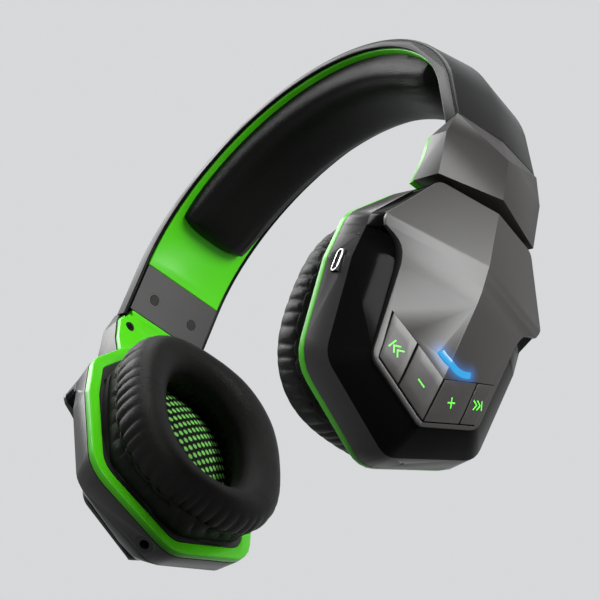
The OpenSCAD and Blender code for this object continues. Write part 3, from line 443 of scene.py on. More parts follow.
@dataclass(frozen=True)
class Leather(Finish):
    """Black leatherette: soft sheen, fine cells and creases."""

    name: str
    colour: Colour
    roughness: float = 0.42
    cell_scale: float = 1100.0
    depth: float = 0.00012
    strength: float = 0.35
    ior: float = 1.35

    def dress(self, wire: Wiring, where: Socket) -> dict[str, Feed]:
        """Adds the cells, the creases and the tone changes.

        Args:
            wire: the material's wiring.
            where: the Object coordinate socket.

        Returns:
            What the shader's inputs get.
        """
        skin = wire.group("leather_surface", where, Cell_Scale=self.cell_scale,
                          Roughness=self.roughness)
        return {"Base Color": wire.mix(skin["Tone"], self.darker(self.colour, 0.7), self.colour),
                "Roughness": skin["Roughness"], "IOR": self.ior,
                "Normal": wire.bump(skin["Height"], self.depth, self.strength)}


@dataclass(frozen=True)
class DotMesh(Finish):
    """Black mesh fabric with a coloured layer showing in its openings."""

    name: str
    yarn: Colour
    dot: Colour
    pitch_scale: float = 320.0
    depth: float = 0.0004

    def dress(self, wire: Wiring, where: Socket) -> dict[str, Feed]:
        """Adds the dots and the yarns' relief, placed by the piece's own map.

        Args:
            wire: the material's wiring.
            where: the Object coordinate socket, which this finish leaves.

        Returns:
            What the shader's inputs get.
        """
        own = wire.node("UVMap", uv_map="UVMap")["UV"]
        weave = wire.group("woven_dots", own, Pitch_Scale=self.pitch_scale)
        return {"Base Color": wire.mix(weave["Dot"], self.yarn, self.dot), "Roughness": 0.7,
                "IOR": 1.3, "Normal": wire.bump(weave["Height"], self.depth, 0.8)}


@dataclass(frozen=True)
class Metal(Finish):
    """Bare or blackened metal with a brushed gloss."""

    name: str
    colour: Colour
    roughness: float = 0.25
    smudge: float = 0.12
    grain_scale: float = 3800.0
    grain_depth: float = 0.00001

    def dress(self, wire: Wiring, where: Socket) -> dict[str, Feed]:
        """Adds the brushed gloss and its darker patches.

        Args:
            wire: the material's wiring.
            where: the Object coordinate socket.

        Returns:
            What the shader's inputs get.
        """
        skin = wire.group("plastic_surface", where, Grain_Scale=self.grain_scale,
                          Roughness=self.roughness, Smudge=self.smudge)
        return {"Base Color": wire.mix(skin["Mottle"], self.darker(self.colour, 0.8), self.colour),
                "Roughness": skin["Roughness"], "Metallic": 1.0,
                "Normal": wire.bump(skin["Height"], self.grain_depth, 0.4)}


@dataclass(frozen=True)
class Glow(Finish):
    """A lit, tinted light window."""

    name: str
    colour: Colour
    strength: float

    def dress(self, wire: Wiring, where: Socket) -> dict[str, Feed]:
        """Adds the lit colour, a little uneven along the window.

        Args:
            wire: the material's wiring.
            where: the Object coordinate socket.

        Returns:
            What the shader's inputs get.
        """
        skin = wire.group("plastic_surface", where, Roughness=0.25, Smudge=0.1)
        lens, deep, pale = (self.darker(self.colour, share) for share in (0.08, 0.05, 0.8))
        return {"Base Color": wire.mix(skin["Mottle"], lens, deep),
                "Emission Color": wire.mix(skin["Mottle"], self.colour, pale),
                "Roughness": skin["Roughness"], "Emission Strength": self.strength}


GUNMETAL = Plastic("gunmetal_plastic", linear(27, 25, 25), linear(52, 49, 48),
                   roughness=0.32, ior=1.36)
ARM_GREY = Plastic("arm_gunmetal_plastic", linear(30, 28, 27), linear(56, 53, 52),
                   roughness=0.36, ior=1.28)
PANEL = Plastic("panel_gunmetal_plastic", linear(33, 31, 30), linear(60, 57, 56),
                roughness=0.38, ior=1.42)
LIT_PANEL = HaloPlastic("lit_panel_plastic", PANEL.colour, PANEL.worn, roughness=PANEL.roughness,
                        ior=PANEL.ior, halo=linear(20, 110, 190))
BAND_BLACK = Plastic("band_black_plastic", linear(12, 12, 11), linear(30, 29, 28),
                     roughness=0.26, ior=1.15)
PIANO = Plastic("piano_black_plastic", linear(6, 6, 6), linear(14, 14, 14), roughness=0.12,
                smudge=0.04, grain_depth=0.000004, wear=0.1, ior=1.1)
NEON = Plastic("neon_green_plastic", linear(78, 196, 22), linear(120, 226, 80),
               roughness=0.3, ior=1.3, wear=0.3)
NYLON = Plastic("black_nylon", linear(24, 24, 24), linear(40, 40, 40), roughness=0.55, ior=1.4)
CONE = Plastic("cone_film", linear(196, 186, 164), linear(210, 200, 180), roughness=0.5)
BOARD = Plastic("board_lacquer", linear(24, 92, 50), linear(60, 120, 80), roughness=0.35)
WRAP = Plastic("battery_wrap", linear(120, 124, 134), linear(150, 154, 160), roughness=0.35)
CABLE = Plastic("cable_sleeve", linear(120, 24, 24), linear(150, 50, 50), roughness=0.5)
MARK = Plastic("printed_green", linear(96, 236, 60), linear(150, 250, 110),
               roughness=0.45, wear=0.1)
LEATHER = Leather("black_leatherette", linear(22, 21, 20), ior=1.2)
BAND_LEATHER = Leather("band_leatherette", linear(18, 18, 17), roughness=0.34, ior=1.16)
DOTS = DotMesh("dotted_mesh", linear(8, 9, 8), linear(150, 236, 120))
STEEL = Metal("bare_steel", linear(190, 190, 194))
DARK_SCREW = Metal("blackened_screw", linear(36, 35, 34), roughness=0.4)
CHROME = Metal("port_chrome", linear(84, 84, 88), roughness=0.42, smudge=0.05)
# Painted shade: near-black sheets laid in the port's mouth and in the screws' cross recesses,
# standing for the shade inside those hollows.
PAINTED_SHADE = Plastic("port_shadow", linear(5, 5, 5), linear(10, 10, 10), roughness=0.5, ior=1.1)
BLUE_LIGHT = Glow("blue_light", linear(30, 158, 222), 1.0)


# ------------------------------------------------------------------ mesh helpers


class MeshShop:
    """Makes, shapes and finishes the meshes of every piece."""

    sunk = 0.03
    cast_from = 0.06
    doubles = 0.000002
    flat_angle = math.radians(0.6)

    @staticmethod
    def to_object(bm: bmesh.types.BMesh, name: str, finish: Finish,
                  sharp: float = 30.0) -> bpy.types.Object:
        """Turns a bmesh into a finished, smooth-shaded object at the origin.

        Args:
            bm: the mesh, which is freed.
            name: the piece's name.
            finish: its finish.
            sharp: edges that turn by more than this stay sharp, in degrees.

        Returns:
            The new object.
        """
        limit = math.radians(sharp)
        for edge in bm.edges:
            edge.smooth = not (len(edge.link_faces) == 2 and edge.calc_face_angle(0.0) > limit)
        for face in bm.faces:
            face.smooth = True
        mesh = bpy.data.meshes.new(name)
        bm.to_mesh(mesh)
        bm.free()
        mesh.materials.append(finish.material())
        made = bpy.data.objects.new(name, mesh)
        bpy.context.scene.collection.objects.link(made)
        return made

    @staticmethod
    def joined(parts: Iterable[bmesh.types.BMesh]) -> bmesh.types.BMesh:
        """Joins several meshes into one.

        Args:
            parts: the meshes, which are freed.

        Returns:
            The joined bmesh.
        """
        whole = bmesh.new()
        for part in parts:
            held = bpy.data.meshes.new("part")
            part.to_mesh(held)
            part.free()
            whole.from_mesh(held)
            bpy.data.meshes.remove(held)
        return whole

    @classmethod
    def laid_on(cls, bm: bmesh.types.BMesh, node: str, where: Matrix) -> bmesh.types.BMesh:
        """Lays a flat mesh on a CAD node's surface, keeping each point's own height above it.

        Args:
            bm: the flat mesh, in metres, its height along Z.
            node: the CAD node's name.
            where: the transform whose Z axis points out of the surface.

        Returns:
            The same bmesh, in the row frame.
        """
        copy = cls.merged_copy(node, join_flats=False)
        surface = BVHTree.FromBMesh(copy)
        out = (where.to_3x3() @ Vector((0, 0, 1))).normalized()
        for vert in bm.verts:
            start = where @ Vector((vert.co.x, vert.co.y, cls.cast_from))
            hit = surface.ray_cast(start, -out)[0]
            base = hit if hit is not None else where @ Vector((vert.co.x, vert.co.y, 0.0))
            vert.co = base + out * vert.co.z
        copy.free()
        bmesh.ops.recalc_face_normals(bm, faces=bm.faces[:])
        return bm

    @classmethod
    def merged_copy(cls, node: str, join_flats: bool = True) -> bmesh.types.BMesh:
        """Copies a CAD node's mesh with its doubles merged.

        Args:
            node: the CAD node's name.
            join_flats: whether faces that lie in one plane become one.

        Returns:
            The new bmesh.
        """
        bm = bmesh.new()
        bm.from_mesh(frame["nodes"][node].data)
        bmesh.ops.remove_doubles(bm, verts=bm.verts[:], dist=cls.doubles)
        if join_flats:
            bmesh.ops.dissolve_limit(bm, angle_limit=cls.flat_angle, verts=bm.verts[:],
                                     edges=bm.edges[:])
        return bm

    @classmethod
    def bevelled_copy(cls, node: str, name: str, finish: Finish, width: float, body: str,
                      angle: float = 24.0, sharp: float = 180.0) -> bpy.types.Object:
        """Replaces a CAD node by a copy whose edges are rounded.

        Args:
            node: the CAD node's name.
            name: the new piece's name.
            finish: its finish.
            width: the bevel's width in millimetres.
            body: the body that it rides on.
            angle: edges that turn by more than this are rounded, in degrees.
            sharp: edges that turn by more than this stay sharp, in degrees.

        Returns:
            The new object.
        """
        made = cls.to_object(cls.merged_copy(node), name, finish, sharp)
        bevel = made.modifiers.new("rounded edges", "BEVEL")
        bevel.width = width * MM
        bevel.segments = 3
        bevel.limit_method = "ANGLE"
        bevel.angle_limit = math.radians(angle)
        bevel.harden_normals = True
        bevel.use_clamp_overlap = True
        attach(made, body)
        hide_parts(node)
        return made

    @staticmethod
    def thicken(bm: bmesh.types.BMesh, faces: list[bmesh.types.BMFace], depth: float) -> None:
        """Gives flat faces a thickness upwards.

        Args:
            bm: the mesh.
            faces: the flat faces.
            depth: their thickness in millimetres.
        """
        raised = bmesh.ops.extrude_face_region(bm, geom=faces)["geom"]
        verts = [item for item in raised if isinstance(item, bmesh.types.BMVert)]
        bmesh.ops.translate(bm, verts=verts, vec=(0, 0, depth * MM))

    @classmethod
    def plate(cls, points: Sequence[Point], depth: float) -> bmesh.types.BMesh:
        """Makes a flat plate from an outline.

        Args:
            points: the outline's corners, in millimetres, counter-clockwise.
            depth: the plate's thickness in millimetres, up from just under zero.

        Returns:
            The new bmesh, in metres.
        """
        bm = bmesh.new()
        face = bm.faces.new([bm.verts.new((x * MM, y * MM, -cls.sunk * MM)) for x, y in points])
        cls.thicken(bm, [face], depth)
        bmesh.ops.recalc_face_normals(bm, faces=bm.faces[:])
        return bm

    @classmethod
    def bar(cls, x: float, y: float, half_w: float, half_h: float,
            depth: float) -> bmesh.types.BMesh:
        """Returns a plate with four corners about a middle, its sizes in millimetres."""
        corners = ((-1, -1), (1, -1), (1, 1), (-1, 1))
        return cls.plate([(x + a * half_w, y + b * half_h) for a, b in corners], depth)

    @staticmethod
    def place(bm: bmesh.types.BMesh, where: Matrix) -> bmesh.types.BMesh:
        """Moves a bmesh to its place, turning its faces back if the move mirrors it.

        Args:
            bm: the mesh.
            where: the transform.

        Returns:
            The same bmesh.
        """
        bmesh.ops.transform(bm, matrix=where, verts=bm.verts[:])
        if where.to_3x3().determinant() < 0:
            bmesh.ops.reverse_faces(bm, faces=bm.faces[:])
        return bm


def smooth_wave(x: float, seed: float) -> float:
    """Returns a smooth, repeatable wobble between about -1 and 1.

    Args:
        x: the position along the wobble.
        seed: shifts it, so that pieces differ.

    Returns:
        The wobble's value.
    """
    waves = ((1.7, 1.0, 0.0, 1.0), (2.9, 1.3, 1.0, 1.0), (5.3, 2.1, 0.0, 0.6))
    return sum(height * math.sin(rate * x + turn * seed + lag)
               for rate, turn, lag, height in waves) / 2.6


def clamped(value: float, low: float = 0.0, high: float = 1.0) -> float:
    """Returns the value, kept between the two limits."""
    return max(low, min(high, value))


# ------------------------------------------------------------------ shared geometry


@dataclass(frozen=True)
class LightArc:
    """The light window's arc on the right cup, in millimetres and degrees."""

    forward: float = 2.8
    up: float = 1.9
    radius: float = 13.4
    start: float = 237.0
    end: float = 304.0

    @property
    def middle_turn(self) -> float:
        """Returns the direction of the arc's middle, in radians, between -pi and pi."""
        return math.radians((self.start + self.end) / 2 - 360)

    @property
    def half_turn(self) -> float:
        """Returns half the arc's sweep, in radians."""
        return math.radians((self.end - self.start) / 2)


@dataclass
class BandCurve:
    """The arch of the headband, in millimetres: one curve each side, then a straight end."""

    top_z: float = 139.7
    end_x: float = 77.0
    end_z: float = 88.7
    splay: float = 16.0
    crown_handle: float = 38.0
    end_handle: float = 29.0
    plate_len: float = 19.7

    def at(self, u: float, y: float, h: float) -> Vector:
        """Finds a point of the band.

        Args:
            u: position along it, 0 at the crown and 1 at the liner's end.
            y: position across it.
            h: height out from the liner's inner face.

        Returns:
            The point, in metres.
        """
        a = math.radians(self.splay)
        down = Vector((math.sin(a), -math.cos(a)))
        p = [Vector((0, self.top_z)), Vector((self.crown_handle, self.top_z))]
        end = Vector((self.end_x, self.end_z))
        p += [end - down * self.end_handle, end]
        v = min(1.0, abs(u))
        w = 1 - v
        spot = p[0] * w ** 3 + p[1] * 3 * w * w * v + p[2] * 3 * w * v * v + p[3] * v ** 3
        way = (p[1] - p[0]) * w * w + (p[2] - p[1]) * 2 * w * v + (p[3] - p[2]) * v * v
        way.normalize()
        if abs(u) > 1:
            spot = end + down * (abs(u) - 1) * self.plate_len
            way = down
        side = -1 if u < 0 else 1
        out = Vector((-way.y, way.x))
        return Vector((side * (spot.x + out.x * h), y, spot.y + out.y * h)) * MM


@dataclass
class CupFrame:
    """One cup's own frame, in millimetres: forward, up the cup, and out of it."""

    x: float = 58.0
    tilt: float = 16.0

    def matrix(self, side: Side) -> Matrix:
        """Returns the transform from the cup's frame, in metres, to the row frame."""
        c, s = math.cos(math.radians(self.tilt)), math.sin(math.radians(self.tilt))
        return side.mirror @ axes((0, 1, 0), (s, 0, c), (c, 0, -s), (self.x * MM, 0, 0))


LIGHT_ARC = LightArc()
BAND = BandCurve()
CUP = CupFrame()


# ------------------------------------------------------------------ headband


@dataclass
class Headband:
    """The sprung band: shell, liner, cushion and end plates."""

    cushion_reach: float = 0.76
    cushion_half_w: float = 15.4
    cushion_depth: float = 12.0
    cushion_rings: int = 150
    cushion_around: int = 72
    end_power: int = 7
    end_root: float = 3.2
    side_power: float = 0.62
    crown_power: float = 0.72
    waist: float = 0.14
    end_taper: float = 1.6
    sink: float = 0.35
    fold_from: float = 0.72
    fold_depth: float = 0.35
    fold_rate: float = 0.55
    seam_at: float = 12.6
    seam_half_w: float = 0.9
    seam_depth: float = 0.5

    def build(self) -> None:
        """Builds every piece of the band."""
        copy = MeshShop.bevelled_copy
        copy("band_shell", "band_outer_shell", BAND_BLACK, 0.45, "band", angle=26)
        copy("band_liner", "band_green_liner", NEON, 0.5, "band", angle=40)
        for side in Side:
            copy(f"end_plate_{side.word}", f"end_plate_cover_{side.word}", GUNMETAL, 0.2, "band",
                 angle=30, sharp=20.0)
        self._cushion()

    def _cushion(self) -> None:
        """Builds the padded cushion: a closed, crowned tube with soft folds near its ends."""
        bm = bmesh.new()
        bmesh.ops.create_uvsphere(bm, u_segments=self.cushion_around,
                                  v_segments=self.cushion_rings, radius=1.0)
        for vert in bm.verts:
            vert.co = self._cushion_point(vert.co)
        bmesh.ops.recalc_face_normals(bm, faces=bm.faces[:])
        made = MeshShop.to_object(bm, "band_padded_cushion", BAND_LEATHER, sharp=60.0)
        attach(made, "band")
        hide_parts("band_cushion")

    def _cushion_point(self, ball: Vector) -> Vector:
        """Carries a point of a unit ball to the cushion's surface.

        Args:
            ball: the point on the ball, its poles at the cushion's two ends.

        Returns:
            The point on the cushion, in metres.
        """
        along = clamped(ball.z, -1.0)
        size = (1 - abs(along) ** self.end_power) ** (1 / self.end_root)
        angle = math.atan2(ball.y, ball.x)
        c, s = math.cos(angle), math.sin(angle)
        w = self.cushion_half_w * (1 - self.waist + self.waist * size)
        y = w * min(1.0, size * self.end_taper) * math.copysign(abs(c) ** self.side_power, c)
        if s >= 0:
            return BAND.at(along * self.cushion_reach, y, -self.sink)
        end = max(0.0, abs(along) - self.fold_from) / (1 - self.fold_from)
        fold = self.fold_depth * end * (1 - end) * 4 * smooth_wave(y * self.fold_rate, 2 * along)
        seam = self.seam_depth * math.exp(-((abs(y) - self.seam_at) / self.seam_half_w) ** 2)
        depth = self.cushion_depth * size * abs(s) ** self.crown_power - fold - seam * size
        return BAND.at(along * self.cushion_reach, y, -self.sink - max(0.0, depth))


# ------------------------------------------------------------------ arms


@dataclass
class Arm:
    """One telescopic arm: the outer shell and the green slider's cover."""

    side: Side
    lean: float = 15.0
    face_x: float = 62.9
    tick_count: int = 5
    tick_pitch: float = 2.3
    tick_y: float = -3.8
    tick_z: float = 63.7
    tick_rise: float = 0.29
    tick_half_w: float = 0.13
    tick_half_h: float = 0.75
    tick_depth: float = 0.1

    def build(self) -> None:
        """Builds every piece of the arm."""
        word = self.side.word
        body = f"arm_{word}"
        MeshShop.bevelled_copy(f"arm_shell_{word}", f"arm_outer_shell_{word}", ARM_GREY, 0.6, body,
                               angle=16)
        MeshShop.bevelled_copy(f"slider_{word}", f"slider_cover_{word}", NEON, 0.5, body, angle=28)
        self._ticks(body)

    def _ticks(self, body: str) -> None:
        """Lays the slider's fine size marks along its lower edge, on the wearer's side.

        Args:
            body: the body that they ride on.
        """
        c, s = math.cos(math.radians(self.lean)), math.sin(math.radians(self.lean))
        where = self.side.mirror @ axes((0, 1, 0), (s, 0, c), (-c, 0, s), (self.face_x * MM, 0, 0))
        lines = []
        for i in range(self.tick_count):
            y, z = self.tick_y + i * self.tick_pitch, self.tick_z + i * self.tick_rise
            lines.append(MeshShop.bar(y, z / c, self.tick_half_w, self.tick_half_h,
                                      self.tick_depth))
        bm = MeshShop.laid_on(MeshShop.joined(lines), f"slider_{self.side.word}", where)
        made = MeshShop.to_object(bm, f"size_marks_{self.side.word}", NYLON)
        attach(made, body)


# ------------------------------------------------------------------ ear cups


@dataclass
class EarCup:
    """One cup's moulded shells."""

    side: Side

    def build(self) -> None:
        """Builds the cup's moulded pieces."""
        panel = LIT_PANEL if self.side is Side.RIGHT else PANEL
        shells = (("cup_housing", "cup_side_wall", GUNMETAL, 0.3, 35),
                  ("cup_bezel", "cup_channel", PIANO, 0.3, 35),
                  ("cup_panel", "cup_outer_panel", panel, 0.5, 22),
                  ("rim_trim", "cup_green_rim", NEON, 0.45, 40))
        word = self.side.word
        for node, name, finish, width, angle in shells:
            MeshShop.bevelled_copy(f"{node}_{word}", f"{name}_{word}", finish, width,
                                   f"cup_{word}", angle=angle)


@dataclass
class EarPad:
    """One ear pad: a gathered back roll, a deep seam and a pleated cushion."""

    side: Side
    half_w: float = 35.4
    half_h: float = 37.4
    up: float = 2.2
    depth: float = 21.5
    lip_w: float = 18.5
    lip_h: float = 25.0
    lip_power: float = 2.2
    edge_power: float = 2.6
    back: float = -1.7
    ring: tuple[Point, ...] = ((22.5, 43.5), (38.0, 25.0), (39.3, 8.0), (35.5, -27.0), (0.0, -45.0))
    ring_inset: float = 5.6
    ring_power: int = 16
    around: int = 480
    section_points: int = 72
    pleats: float = 50.0
    pleat_depth: float = 1.5
    pleat_wander: float = 2.2
    pleat_middle: float = 0.5
    pleat_reach: float = 0.42
    pleat_from: float = 0.45
    pleat_rise: float = 0.4
    pleat_lean: float = 3.5
    pleat_width: float = 1.3
    gather_rate: float = 0.31
    gather_middle: float = 0.3
    gather_half: float = 0.14
    gather_lean: float = 2.5
    gather_width: float = 1.5
    pucker: float = 0.25
    seam: float = 0.41
    sag: float = 0.35
    sag_from: float = 0.8
    face_from: float = 0.7
    roll_start: float = 0.02
    roll_end: float = 0.4
    roll_blend: float = 0.1
    mesh_share: float = 0.33
    mesh_edge: float = -2.3
    mesh_crown: float = 5.4
    mesh_power: float = 2.2
    mesh_back: float = -1.9
    section: tuple[Point, ...] = (
        (0.42, 0.0), (0.80, 0.0), (0.95, 0.015), (0.992, 0.08), (1.0, 0.2), (0.992, 0.32),
        (0.972, 0.385), (0.95, 0.41), (0.972, 0.435), (0.996, 0.49), (1.004, 0.6), (0.985, 0.72),
        (0.93, 0.84), (0.82, 0.94), (0.66, 0.995), (0.48, 1.0), (0.30, 0.97), (0.13, 0.88),
        (0.02, 0.74), (0.0, 0.6), (0.05, 0.45), (0.16, 0.3), (0.3, 0.15))

    def build(self) -> None:
        """Builds the pad and the dotted mesh inside it."""
        self._pad()
        self._mesh()

    @staticmethod
    def _oval(angle: float, half_w: float, half_h: float, power: float) -> Vector:
        """Returns a point of a squarish oval.

        Args:
            angle: the direction, in radians.
            half_w: half its width.
            half_h: half its height.
            power: 2 for an ellipse, and more for squarer.

        Returns:
            The point.
        """
        c, s = math.cos(angle), math.sin(angle)
        r = (abs(c) ** power + abs(s) ** power) ** (-1 / power)
        return Vector((half_w * r * c, half_h * r * s))

    def _lip_and_edge(self, angle: float) -> tuple[Vector, Vector]:
        """Returns the points of the pad's lip and of its outer edge in a direction."""
        return (self._oval(angle, self.lip_w, self.lip_h, self.lip_power),
                self._oval(angle, self.half_w, self.half_h, self.edge_power))

    def _rim(self, angle: float) -> Vector:
        """Returns the point of the green ring's inner edge in a direction, its corners softened.

        Args:
            angle: the direction, in radians.

        Returns:
            The point, measured from the pad's own middle.
        """
        way = Vector((math.cos(angle), math.sin(angle)))
        half = [Vector((x, y - self.up)) for x, y in self.ring]
        ring = half + [Vector((-v.x, v.y)) for v in reversed(half) if v.x > 0]
        total = 0.0
        for one, two in zip(ring, ring[1:] + ring[:1]):
            run = (two - one).normalized()
            normal = Vector((-run.y, run.x))
            if normal.dot(one) < 0:
                normal = -normal
            share = normal.dot(way) / (normal.dot(one) - self.ring_inset)
            total += max(0.0, share) ** self.ring_power
        return way * total ** (-1 / self.ring_power)

    def _section_at(self, t: float) -> Vector:
        """Reads the section by a smooth curve through its points.

        Args:
            t: the position round the section, 0 to 1.

        Returns:
            The share from lip to edge, and the share of the depth.
        """
        n = len(self.section)
        x = (t % 1.0) * n
        i = int(x)
        f = x - i
        p = [Vector(self.section[(i + k) % n]) for k in (-1, 0, 1, 2)]
        bend = 2 * p[0] - 5 * p[1] + 4 * p[2] - p[3]
        twist = 3 * p[1] - p[0] - 3 * p[2] + p[3]
        return 0.5 * (2 * p[1] + (p[2] - p[0]) * f + bend * f * f + twist * f ** 3)

    def _fold(self, angle: float, depth_share: float, across: float) -> float:
        """Returns how far a pleat draws the surface in, in millimetres.

        Args:
            angle: the direction round the pad.
            depth_share: the share of the pad's depth, 0 at its back.
            across: the share from lip to edge.

        Returns:
            The inward move.
        """
        wander = angle * self.pleats + self.pleat_wander * smooth_wave(angle * 3, 1)
        if depth_share > self.seam:
            reach = max(0.0, 1 - abs(depth_share - self.pleat_middle) / self.pleat_reach)
            reach *= clamped((across - self.pleat_from) / self.pleat_rise)
            lean = self.pleat_lean * (depth_share - self.seam)
            ridge = abs(math.sin((wander + lean) / 2))
            amount = 1 - self.pucker + self.pucker * smooth_wave(angle * 9, 4)
            return self.pleat_depth * amount * reach * (1 - ridge) ** self.pleat_width
        reach = math.exp(-((depth_share - self.gather_middle) / self.gather_half) ** 2)
        ridge = abs(math.sin(self.gather_rate * wander + self.gather_lean * depth_share))
        wobble = self.pucker * smooth_wave(angle * 14, 2)
        return reach * (self.pleat_depth * (1 - ridge) ** self.gather_width + wobble)

    def _pad_point(self, ball: Vector) -> Vector:
        """Carries a point of a plain ring to the pad's surface.

        Args:
            ball: the point on a ring of radius 1.

        Returns:
            The point in the cup's frame, in metres.
        """
        angle = math.atan2(ball.y, ball.x)
        turn = math.atan2(ball.z, math.hypot(ball.x, ball.y) - 1.0)
        share = self._section_at((turn / math.tau) % 1.0)
        lip, edge = self._lip_and_edge(angle)
        way = (edge - lip).normalized()
        roll = clamped((self.roll_end - share.y) / self.roll_blend)
        roll *= min(1.0, share.y / self.roll_start)
        rim = self._rim(math.atan2(edge.y, edge.x))
        edge = edge.lerp(rim, roll * roll * (3 - 2 * roll))
        fold = self._fold(angle, share.y, share.x)
        spot = lip + (edge - lip) * share.x - way * fold
        height = self.back - self.depth * share.y
        height += fold / 2 if share.y > self.face_from else 0.0
        height += self.sag * smooth_wave(angle * 4, 3) * max(0.0, share.y - self.sag_from)
        return Vector((spot.x, spot.y + self.up, height)) * MM

    def _pad(self) -> None:
        """Builds the pad's closed, pleated skin."""
        bm = bmesh.new()
        bmesh.ops.create_circle(bm, segments=self.section_points, radius=0.3)
        bmesh.ops.rotate(bm, verts=bm.verts[:], matrix=Matrix.Rotation(math.pi / 2, 3, "X"))
        bmesh.ops.translate(bm, verts=bm.verts[:], vec=(1.0, 0, 0))
        bmesh.ops.spin(bm, geom=bm.verts[:] + bm.edges[:], cent=(0, 0, 0), axis=(0, 0, 1),
                       angle=math.tau, steps=self.around, use_merge=True)
        bmesh.ops.remove_doubles(bm, verts=bm.verts[:], dist=0.00001)
        for vert in bm.verts:
            vert.co = self._pad_point(vert.co)
        bmesh.ops.recalc_face_normals(bm, faces=bm.faces[:])
        if bm.calc_volume(signed=True) < 0:
            bmesh.ops.reverse_faces(bm, faces=bm.faces[:])
        MeshShop.place(bm, CUP.matrix(self.side))
        made = MeshShop.to_object(bm, f"pleated_pad_{self.side.word}", LEATHER,
                                  sharp=75.0)
        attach(made, f"cup_{self.side.word}")
        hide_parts(f"ear_pad_{self.side.word}")

    def _mesh(self) -> None:
        """Builds the domed, dotted mesh over the loudspeaker."""
        bm = bmesh.new()
        bmesh.ops.create_uvsphere(bm, u_segments=96, v_segments=40, radius=1.0)
        where: dict[int, Point] = {}
        for i, vert in enumerate(bm.verts):
            r = min(1.0, math.hypot(vert.co.x, vert.co.y))
            lip, edge = self._lip_and_edge(math.atan2(vert.co.y, vert.co.x))
            spot = (lip + (edge - lip) * self.mesh_share) * r
            front = self.mesh_edge - self.mesh_crown * (1 - r ** self.mesh_power)
            where[i] = (spot.x * MM, spot.y * MM)
            height = front if vert.co.z > 0 else self.mesh_back
            vert.co = Vector((spot.x, spot.y + self.up, height)) * MM
        bm.verts.index_update()
        layer = bm.loops.layers.uv.new("UVMap")
        for face in bm.faces:
            for loop in face.loops:
                loop[layer].uv = where[loop.vert.index]
        bmesh.ops.recalc_face_normals(bm, faces=bm.faces[:])
        MeshShop.place(bm, CUP.matrix(self.side))
        made = MeshShop.to_object(bm, f"dotted_mesh_{self.side.word}", DOTS, sharp=60.0)
        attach(made, f"cup_{self.side.word}")
        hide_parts(f"ear_mesh_{self.side.word}")


# ------------------------------------------------------------------ controls


CHEVRON_RUN, CHEVRON_RISE = 1.5, 1.35
Stroke = tuple[float, float, float, float]


@dataclass(frozen=True)
class Symbol:
    """A key's printed symbol: straight strokes about the key's middle."""

    key: str
    centre: Point
    slope: float
    strokes: tuple[Stroke, ...]


def chevron(tip: float, point: float) -> tuple[Stroke, Stroke]:
    """Returns the two strokes of a chevron.

    Args:
        tip: where its tip is, along the key.
        point: which way it points, -1 for rearward and 1 for forward.

    Returns:
        The two strokes.
    """
    back = tip - point * CHEVRON_RUN
    return (tip, 0.0, back, CHEVRON_RISE), (tip, 0.0, back, -CHEVRON_RISE)


